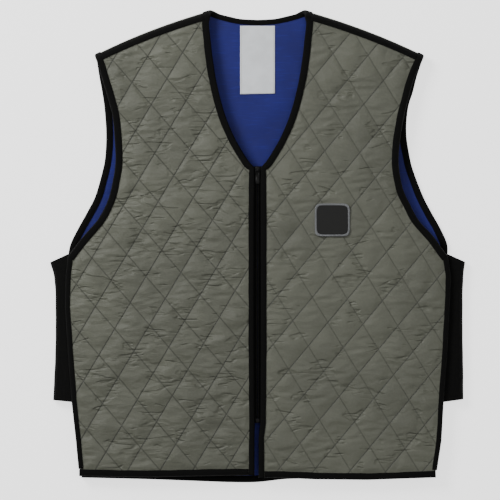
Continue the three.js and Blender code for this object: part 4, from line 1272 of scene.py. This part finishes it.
class VEST_OT_bindings(bpy.types.Operator):
    """Bind the raw edges in folded black tape"""
    bl_idname = "vest.bindings"
    bl_label = "Bindings"

    def execute(self, context):
        material = binding_cloth(context)
        neck, centre = BINDING_WIDTHS["neck"], BINDING_WIDTHS["centre"]
        back_neck = BINDING_WIDTHS["back_neck"]
        for half in HALVES:
            front, _ = half.neck_path()
            v_height = half.chart(half.neck_front[:1], True)[0, 1]

            def widths(path, turn_at=v_height):
                return centre + (neck - centre) * smooth_step((turn_at - path[:, 1]) / 8 + 0.5)

            chart_tape(
                f"front_edge_binding_{half.name}", half, trimmed(front, 0.0, 0.15), 1, widths, material,
            )
            chart_tape(
                f"armhole_binding_{half.name}", half, trimmed(half.armhole_path(), 0.2, 0.2), -1,
                lambda path: np.full(len(path), BINDING_WIDTHS["armhole"]), material,
            )
            for label, sheet, edge in (
                ("front", on_front, half.side_front), ("back", on_back, half.side_back),
            ):
                path = trimmed(edge, 0.2, BINDING_WIDTHS["hem"] + 0.9)
                flat_tape(
                    f"side_binding_{label}_{half.name}", sheet, path, -half.side,
                    BINDING_WIDTHS["side"], material,
                )
            hem = trimmed(np.vstack([half.front_hem, half.centre[:1]]), 0.0, centre + 0.3)
            flat_tape(
                f"hem_binding_front_{half.name}", on_front, hem, -half.side,
                BINDING_WIDTHS["hem"], material,
            )
        hem = np.vstack([HALVES[0].back_hem, HALVES[1].back_hem[:-1][::-1]])
        flat_tape("hem_binding_back", on_back, curve(hem, 200), 1, BINDING_WIDTHS["hem"], material)

        rows, runs = [], []
        for half in HALVES:
            _, back = half.neck_path()
            path = even(trimmed(back, 0.15, 0.0), int(run_of(back)[-1] / 2.4))
            normals = squared_over_fold(half, path, side_normals(path, 1), 3)
            blend = np.clip(1 - path[:, 1] / half.wrap, 0, 1)
            width = neck + (back_neck - neck) * blend
            place = lambda at, layer, half=half: half.place(at[..., 0], at[..., 1], layer)
            made, run = tape_rows(path, normals, width, place)
            rows.append(made)
            runs.append(run)
        both = np.concatenate([rows[0], rows[1][-2::-1]])
        both[len(rows[0]) - 1, :, 0] = 0
        run = np.concatenate([runs[0], 2 * runs[0][-1] - runs[1][-2::-1]])
        uv = tape_map(run, back_neck)
        piece = loft("back_neck_tape", both, material, uv=uv)
        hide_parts("back_neck_binding")
        return {"FINISHED"}


class VEST_OT_shoulder_tapes(bpy.types.Operator):
    """Cover the shoulder seams with flat tape"""
    bl_idname = "vest.shoulder_tapes"
    bl_label = "Shoulder tapes"

    def execute(self, context):
        material = binding_cloth(context)
        for half in HALVES:
            v = np.linspace(half.wrap * 5 / 7, half.wrap + SEAM_TAPE_REACH - half.reach, 12)
            share = np.clip(1 - v / half.wrap, 0, 1)
            neck_s = FRONT_NECK_RUN - (FRONT_NECK_RUN + BACK_NECK_RUN) * share
            neck_s = neck_s + NECK_BEND * 4 * share * (1 - share) + 9.2
            u = np.linspace(0, 1, 70)
            s = neck_s[:, None] * (1 - u) + (half.length - 9.2) * u
            rim = np.minimum(np.linspace(0, 1, 12), np.linspace(1, 0, 12)) * 11
            edge = 0.3 * (1 - np.clip(rim, 0, 1))[:, None]
            wave = 0.05 * np.sin(s / 6.1) * np.sin(s / 17)
            top = half.place(s, v[:, None], TAPE_OUTER - edge + wave)
            low = half.place(s, v[:, None], GRIP_OUTER)
            uv = np.stack(np.broadcast_arrays(s, v[:, None] - v[0]), axis=-1)
            tape = add_shell(
                f"tape_over_shoulder_{half.name}", top, low, cell_faces(12, 70), material,
                uv=uv,
            )
            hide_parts(f"shoulder_tape_{half.name}")
        return {"FINISHED"}


def side_edge(half, up):
    """How far out the bound side edge lies at a height, straight between its rows."""
    rows = np.array(SIDE_ROWS)[::-1]
    return np.interp(up, rows[:, 0], rows[:, 1 + half.column])


class VEST_OT_side_panels(bpy.types.Operator):
    """Hang the knitted side panels, folded between front and back"""
    bl_idname = "vest.side_panels"
    bl_label = "Side panels"

    def execute(self, context):
        # The first two tones are the painted shade in the valleys between the ribs and the painted light
        # on their crowns; the third is the fuzz
        tones = shades(context.scene.vest_colours.black, 0.75, 1.2, 2.2)
        material = rib_knit(tones)
        for half in HALVES:
            table = np.array(SIDE_PANEL_ROWS)[::-1]
            up = np.linspace(table[0, 0], table[-1, 0], 110)
            fold = np.interp(up, table[:, 0], table[:, 1 + half.column]) * HALF_CHEST
            fold = blurred(fold, 3)
            drop = blurred(np.interp(up, table[:, 0], table[:, 3 + half.column]), 3)
            width = fold - side_edge(half, up) * HALF_CHEST
            lap_low = BACK_FACE - TAPE_INNER + 0.3
            lap = 5.0

            def row_at(inside):
                share = 1 - np.minimum(inside / width[:, None], 1)
                return (up[:, None] - 0.5 - drop[:, None] * share) * BODY_LENGTH

            def top_at(inside):
                x = half.side * (fold[:, None] - inside)
                return front_face(x, row_at(inside)) + TAPE_INNER - 0.3

            slope = 0.5
            crest = top_at(np.zeros((len(up), 1)))
            run = width[:, None] - 1.5
            low = np.maximum((lap_low - slope * run + slope / 2 * crest) / (1 + slope / 2), 0)
            radius = (crest - low) / 2
            height = up[:, None] * BODY_LENGTH
            turned = smooth_step((height - (up.max() * BODY_LENGTH - 12)) / 0.8)
            ripple = 0.25 * np.sin(height / 7.3) * np.sin(height / 19)

            def skin(inset):
                turn = np.linspace(0, math.pi, 15)[None]
                round_ = radius - inset
                arc_inside = radius - round_ * np.sin(turn)
                arc_height = low + radius - round_ * np.cos(turn)
                lower = np.linspace(width + lap, width - 1.5, 3, axis=1)
                upper = np.linspace(width, width + lap, 3, axis=1)
                inside = np.concatenate([lower, arc_inside, upper], axis=1)
                tall = np.concatenate([
                    np.broadcast_to(lap_low + inset, lower.shape), arc_height, top_at(upper) - inset,
                ], axis=1)
                return inside, tall

            inside, tall = skin(0.0)
            thick = 1.35 + 0.25 * turned
            inner_inside, inner_tall = skin(thick)
            bulge = np.zeros_like(inside)
            bulge[:, 3:18] = np.sin(np.linspace(0, math.pi, 15))[None] * (ripple - 0.25)
            inside = inside - bulge * 0.6
            section_inside = np.concatenate([inside, inner_inside[:, ::-1]], axis=1)
            section_tall = np.concatenate([tall, inner_tall[:, ::-1]], axis=1)
            x = half.side * (fold[:, None] - section_inside)
            rows = np.stack([x, row_at(section_inside), np.maximum(section_tall, 0)], axis=-1)
            across = run_of(np.stack([section_inside[55], section_tall[55]], axis=1))
            uv = np.stack(np.broadcast_arrays(height, across[None]), axis=-1).reshape(-1, 2)
            panel = loft(f"knit_side_{half.name}", rows, material, uv=uv)
            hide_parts(f"side_panel_{half.name}")
        return {"FINISHED"}


def centre_points(x, y, layer):
    """Points of the centre front on a layer of the crown."""
    x, y, layer = np.broadcast_arrays(np.asarray(x, float), y, layer)
    return np.stack([x, y, front_face(x, y) + layer], axis=-1)


class VEST_OT_zip(bpy.types.Operator):
    """Sew in the closed zip: tapes, coil turns and end box"""
    bl_idname = "vest.zip"
    bl_label = "Zip"

    def execute(self, context):
        # The tape's two tones are the painted shade of the twill's hollows and the painted light of its
        # ridges
        tones = shades(context.scene.vest_colours.black, 0.7, 1.3)
        cloth = zip_tape_cloth(tones)
        plastic = coil_plastic(shades(context.scene.vest_colours.black, 0.6, 1.4))
        pitch = context.scene.vest_sizes.tooth_pitch / MM
        foot = ZIP_TOP - ZIP_LENGTH
        for half in HALVES:
            side = half.side
            y = np.linspace(foot, ZIP_TOP, 120)[:, None]
            x = side * np.linspace(1.3, 13.2, 8)[None]
            ripple = 0.05 * np.sin(y / 3.1)
            top = centre_points(x, y, -1.6 + ripple)
            low = centre_points(x, y, -2.35)
            tape = add_shell(
                f"tape_of_zip_{half.name}", top, low, cell_faces(120, 8), cloth,
            )
            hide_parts(f"zip_tape_{half.name}")
            self.coil(half, foot, pitch, plastic)
        self.end_box(foot, plastic)
        return {"FINISHED"}

    def coil(self, half, foot, pitch, material):
        """Turns of the coil: each is a bent six-sided rod that reaches past the centre line's gap."""
        start = foot + 6.6
        count = int((ZIP_TOP - 1.2 - start) / pitch)
        middle = start + pitch * (np.arange(count) + (0.5 if half.side > 0 else 0.1))
        station = np.array([0.15, 0.6, 1.3, 2.0, 2.45])
        lift = np.array([0.0, 0.62, 0.78, 0.62, 0.0])
        thick = np.array([0.34, 0.42, 0.42, 0.42, 0.34])
        turn = np.linspace(0, 2 * math.pi, 6, endpoint=False)
        along = thick[:, None] * np.cos(turn)
        up = thick[:, None] * np.sin(turn) * 1.15
        x = half.side * np.broadcast_to(station[:, None], along.shape)
        y = middle[:, None, None] + along + 0.12 * np.linspace(-1, 1, 5)[:, None]
        layer = np.broadcast_to(-0.15 + lift[:, None] + up, y.shape)
        points = centre_points(x, y, layer)
        sides = len(turn)
        each = len(station) * sides
        one = ring_faces(len(station), sides)
        faces = (one[None] + (np.arange(count) * each)[:, None, None]).reshape(-1, 4)
        core_y = np.linspace(start - 0.3, ZIP_TOP - 1.0, 90)
        ring = np.linspace(0, 2 * math.pi, 10, endpoint=False)
        core_x = half.side * (1.3 + 1.08 * np.cos(ring))
        core = centre_points(core_x[None], core_y[:, None], -0.45 + 0.78 * np.sin(ring)[None])
        base = len(points.reshape(-1, 3))
        core_faces = ring_faces(len(core_y), len(ring)) + base
        everything = np.vstack([points.reshape(-1, 3), core.reshape(-1, 3)])
        caps = []
        for k in range(count):
            first = np.arange(sides) + each * k
            caps += [first[::-1], first + each - sides]
        end = np.arange(len(ring)) + base
        caps += [end[::-1], end + (len(core_y) - 1) * len(ring)]
        faces = np.vstack([faces, core_faces])
        if volume_of(everything, faces) < 0:
            faces = faces[:, ::-1]
            caps = [cap[::-1] for cap in caps]
        piece = add_piece(
            f"coil_of_zip_{half.name}", everything, faces, material, caps=caps,
        )
        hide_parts(f"zip_coil_{half.name}")

    def end_box(self, foot, material):
        """A rounded block: loops of a squared circle, drawn in towards both ends."""
        y = foot + np.array([0.05, 0.35, 1.0, 3.0, 5.0, 5.65, 5.95])
        draw = np.array([0.72, 0.92, 1.0, 1.0, 1.0, 0.92, 0.72])
        turn = np.linspace(0, 2 * math.pi, 28, endpoint=False)
        square = lambda v: np.sign(v) * np.abs(v) ** 0.45
        x = 3.1 * square(np.cos(turn))[None] * draw[:, None]
        layer = 0.05 + 1.32 * square(np.sin(turn))[None] * draw[:, None]
        rows = centre_points(x, y[:, None], layer)
        box = loft("end_box_of_zip", rows, material)
        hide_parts("zip_end_box")


def metal_finish(context):
    colours = context.scene.vest_colours
    tones = shades(colours.black, 0.7) + shades(colours.label, 0.35)
    return made_once("black_zip_metal", lambda: enamelled_metal(tones))


class VEST_OT_slider(bpy.types.Operator):
    """Cast the zip's slider with its bail, and hang the pull in it"""
    bl_idname = "vest.slider"
    bl_label = "Slider and pull"

    def execute(self, context):
        material = metal_finish(context)
        middle = ZIP_TOP - 5.5
        floor = float(front_face(0.0, middle))
        y = np.linspace(-1, 1, 17)
        swell = 0.8 + 0.2 * smooth_step((1 - np.abs(y)) / 0.25)
        pinch = 1 - 0.12 * np.exp(-((y + 0.55) / 0.3) ** 2)
        half_width = 3.4 * swell * pinch
        top_layer = 2.4 - 0.55 * np.abs(y) ** 5
        section = np.array([
            [-1, -1.0], [-1, 1.6], [-0.93, 2.1], [-0.75, 2.36], [-0.3, 2.4], [0.3, 2.4],
            [0.75, 2.36], [0.93, 2.1], [1, 1.6], [1, -1.0], [0.84, -1.0], [0.84, 1.35],
            [-0.84, 1.35], [-0.84, -1.0],
        ])
        x = section[:, 0][None] * half_width[:, None]
        over = np.clip((section[:, 1] - 1.4), 0, 1)[None] * (top_layer - 2.4)[:, None]
        z = floor + section[:, 1][None] + over
        rows = np.stack([x, np.broadcast_to(middle + 5.45 * y[:, None], x.shape), z], axis=-1)
        slider = loft("slider_of_zip", rows, material)
        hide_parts("zip_slider")

        turn = np.linspace(0, math.pi, 22)
        centre = floor + 3.65
        arch = np.stack([1.75 * np.cos(turn), np.sin(turn) * 1.75], axis=1)
        arch = np.vstack([[1.75, -1.6], arch, [-1.75, -1.6]])
        tangent = np.gradient(arch, axis=0)
        tangent /= np.linalg.norm(tangent, axis=1, keepdims=True)
        normal = np.stack([tangent[:, 1], -tangent[:, 0]], axis=1)
        ring = np.linspace(0, 2 * math.pi, 12, endpoint=False)
        out = 0.5 * np.cos(ring)
        wide = 0.88 * np.sign(np.sin(ring)) * np.abs(np.sin(ring)) ** 0.8
        at = arch[:, None] + normal[:, None] * out[None, :, None]
        rows = np.stack([
            np.broadcast_to(wide, at.shape[:2]), middle + at[..., 0], centre + at[..., 1],
        ], axis=-1)
        loft("bail_of_zip", rows, material)
        self.pull(material, middle, floor + 2.4 + 1.25)
        return {"FINISHED"}

    def pull(self, material, middle, hang):
        """A flat tab with a hole: rings between a rounded outline and the hole, joined over both faces."""
        turn = np.linspace(0, 2 * math.pi, 64, endpoint=False)

        def squared(half_x, half_y, centre_y, power):
            cos, sin = np.cos(turn), np.sin(turn)
            scale = (np.abs(cos / half_x) ** power + np.abs(sin / half_y) ** power) ** (-1 / power)
            return np.stack([cos * scale, sin * scale + centre_y], axis=1)

        centre_y = -9.25
        outline = squared(3.0, 10.0, centre_y, 9.0)
        outline[:, 0] *= 1 - 0.1 * np.exp(-((outline[:, 1] + 6.5) / 2.2) ** 2)
        eye = squared(1.4, 1.7, -2.45, 4.0)
        inner = np.array([outline * 0.94 + [0, 0.06 * centre_y], outline])
        rings = [
            (eye, -0.35), (eye, 0.35), (eye * [1.12, 1.0], 0.58), (inner[0], 0.6),
            (inner[1], 0.36), (inner[1], -0.36), (inner[0], -0.6), (eye * [1.12, 1.0], -0.58),
        ]
        tilt = math.radians(3)
        rows = []
        for loop, height in rings:
            y = loop[:, 1] * math.cos(tilt) - height * math.sin(tilt)
            z = loop[:, 1] * math.sin(tilt) + height * math.cos(tilt)
            rows.append(np.stack([loop[:, 0], middle + y, hang + z], axis=1))
        rows.append(rows[0])
        rows = np.array(rows)
        count = len(turn)
        points = rows[:-1].reshape(-1, 3)
        faces = ring_faces(len(rings) + 1, count) % len(points)
        if volume_of(points, faces) < 0:
            faces = faces[:, ::-1]
        tab = add_piece("pull_of_zip", points, faces, material, body="pull")
        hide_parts("zip_pull")


class VEST_OT_label(bpy.types.Operator):
    """Sew the white label under the back neck"""
    bl_idname = "vest.label"
    bl_label = "Neck label"

    def execute(self, context):
        # The third tone is the painted shade in the stitch grooves
        tones = shades(context.scene.vest_colours.label, 1.0, 0.96, 0.7)
        material = woven_label_cloth(tones)
        wide, tall = LABEL_SIZE
        u = np.linspace(-1, 1, 33)[None]
        t = np.linspace(0, 1, 60)[:, None]
        x = wide / 2 * u + 0 * t
        y = LABEL_TOP - tall * t + 0.5 * u * t
        curl = 0.45 * smooth_step((t - 0.75) / 0.25) + 0.18 * np.sin(t * 9) * (1 - u * u)
        face = BACK_FACE + 0.3 + curl
        upper = np.stack(np.broadcast_arrays(x, y, face + 0.75), axis=-1)
        lower = np.stack(np.broadcast_arrays(x, y, face), axis=-1)
        label = add_shell(
            "woven_label", upper, lower, cell_faces(60, 33), material,
        )
        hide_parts("neck_label")
        return {"FINISHED"}


class VEST_OT_badge(bpy.types.Operator):
    """Sew the plain woven badge on the left front"""
    bl_idname = "vest.badge"
    bl_label = "Chest badge"

    def execute(self, context):
        black = context.scene.vest_colours.black
        label = context.scene.vest_colours.label
        centre = np.array(BADGE_CENTRE)
        turn = np.linspace(0, 2 * math.pi, 120, endpoint=False)
        cos, sin = np.cos(turn), np.sin(turn)
        power = 7.0

        def loop(inset):
            wide, tall = (half_size - inset for half_size in BADGE_HALF_SIZE)
            scale = (np.abs(cos / wide) ** power + np.abs(sin / tall) ** power) ** (-1 / power)
            return centre + np.stack([cos * scale, sin * scale], axis=1)

        insets = np.array([1.0, 1.0, 4, 9, 14, 19, 22.4])
        heights = np.array([5.7, 6.35, 6.4, 6.42, 6.42, 6.42, 6.42])
        rings = np.array([on_front(loop(i), h) for i, h in zip(insets, heights)])
        points = rings.reshape(-1, 3)
        count = len(turn)
        faces = ring_faces(len(insets), count)
        caps = [np.arange(count)[::-1], np.arange(count) + (len(insets) - 1) * count]
        if volume_of(points, faces) < 0:
            faces = faces[:, ::-1]
            caps = [cap[::-1] for cap in caps]
        # The badge field's two tones are the painted shade of the twill's hollows and the painted light of
        # its ridges
        field = add_piece(
            "badge_field", points, faces, badge_twill(shades(black, 1.3, 2.0)), caps=caps,
        )
        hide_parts("chest_badge")

        around = np.linspace(0, 2 * math.pi, 10, endpoint=False)
        rows = []
        for angle in around:
            rows.append(on_front(loop(1.45 - 1.4 * math.cos(angle)), 6.2 + 0.62 * math.sin(angle)))
        tube = np.stack(rows, axis=1)
        points = tube.reshape(-1, 3)
        index = np.arange(len(points)).reshape(count, len(around))
        ahead = np.roll(index, -1, axis=0)
        faces = np.stack([
            index, np.roll(index, -1, axis=1), np.roll(ahead, -1, axis=1), ahead,
        ], axis=-1).reshape(-1, 4)
        if volume_of(points, faces) < 0:
            faces = faces[:, ::-1]
        run = run_of(np.vstack([loop(0), loop(0)[:1]]))[:-1]
        uv = np.stack(np.broadcast_arrays(run[:, None], np.arange(len(around))[None] * 0.7), axis=-1)
        rim = add_piece(
            "badge_rim", points, faces, overlock_thread(shades(label, 0.6, 0.4)),
            uv=uv.reshape(-1, 2),
        )
        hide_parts("chest_badge")
        return {"FINISHED"}


class VEST_OT_stage(bpy.types.Operator):
    """Lay the floor, hang the lights and set up the camera"""
    bl_idname = "vest.stage"
    bl_label = "Studio"

    def execute(self, context):
        look = context.scene.stage_look
        tone = [c * 255 for c in look.floor]
        size = 6.0
        corners = [(-size, -size, -0.0004), (size, -size, -0.0004), (size, size, -0.0004),
                   (-size, size, -0.0004)]
        mesh = bpy.data.meshes.new("studio_floor")
        mesh.from_pydata(corners, [], [(0, 1, 2, 3)])
        mesh.materials.append(studio_floor(tone))
        floor = bpy.data.objects.new("studio_floor", mesh)
        context.scene.collection.objects.link(floor)

        world = bpy.data.worlds.new("studio")
        world.use_nodes = True
        world.node_tree.nodes["Background"].inputs[0].default_value = (1, 1, 1, 1)
        world.node_tree.nodes["Background"].inputs[1].default_value = look.sky
        context.scene.world = world

        lights = [  # name, position, size, share of the key light's power
            ("key", (-1.45, 1.25, 1.5), 0.9, 1.0),
            ("fill", (0.3, 0.2, 2.6), 1.6, 0.3),
        ]
        for name, position, width, share in lights:
            data = bpy.data.lights.new(name, "AREA")
            data.size = width
            data.energy = look.key_power * share
            lamp = bpy.data.objects.new(name, data)
            lamp.location = position
            direction = -np.array(position)
            lamp.rotation_euler = look_along(direction)
            context.scene.collection.objects.link(lamp)

        lens = bpy.data.cameras.new("camera")
        lens.lens = 36.0 * 5.988 / 0.697
        lens.clip_end = 60
        camera = bpy.data.objects.new("camera", lens)
        camera.location = (-0.0105, -0.0052, 6.0)
        context.scene.collection.objects.link(camera)
        context.scene.camera = camera
        return {"FINISHED"}


def look_along(direction):
    """Turns that point an object's -Z along a direction: a tilt from straight down, then a heading."""
    x, y, z = direction / np.linalg.norm(direction)
    return (math.acos(-z), 0.0, math.atan2(y, x) - math.pi / 2)


STEPS = (
    VEST_OT_fronts, VEST_OT_back, VEST_OT_linings, VEST_OT_bindings, VEST_OT_shoulder_tapes,
    VEST_OT_side_panels, VEST_OT_zip, VEST_OT_slider, VEST_OT_label, VEST_OT_badge, VEST_OT_stage,
)


class VEST_PT_panel(bpy.types.Panel):
    """Lists the vest's pieces in the order in which they are made"""
    bl_idname = "VEST_PT_panel"
    bl_label = "Cooling vest"
    bl_space_type = "VIEW_3D"
    bl_region_type = "UI"
    bl_category = "Vest"

    def draw(self, context):
        scene = context.scene
        for group in (scene.vest_sizes, scene.vest_colours, scene.stage_look):
            for name in group.__annotations__:
                self.layout.prop(group, name)
        for step in STEPS:
            self.layout.operator(step.bl_idname)


GROUPS = {"vest_sizes": VestSizes, "vest_colours": VestColours, "stage_look": StageLook}


def register():
    for group in GROUPS.values():
        bpy.utils.register_class(group)
    for step in STEPS:
        bpy.utils.register_class(step)
    bpy.utils.register_class(VEST_PT_panel)
    for name, group in GROUPS.items():
        setattr(bpy.types.Scene, name, bpy.props.PointerProperty(type=group))


def unregister():
    for name in GROUPS:
        delattr(bpy.types.Scene, name)
    bpy.utils.unregister_class(VEST_PT_panel)
    for step in reversed(STEPS):
        bpy.utils.unregister_class(step)
    for group in reversed(GROUPS.values()):
        bpy.utils.unregister_class(group)


def main():
    register()
    bpy.ops.vest.fronts()
    bpy.ops.vest.back()
    bpy.ops.vest.linings()
    bpy.ops.vest.bindings()
    bpy.ops.vest.shoulder_tapes()
    bpy.ops.vest.side_panels()
    bpy.ops.vest.zip()
    bpy.ops.vest.slider()
    bpy.ops.vest.label()
    bpy.ops.vest.badge()
    bpy.ops.vest.stage()


if __name__ == "__main__":
    main()
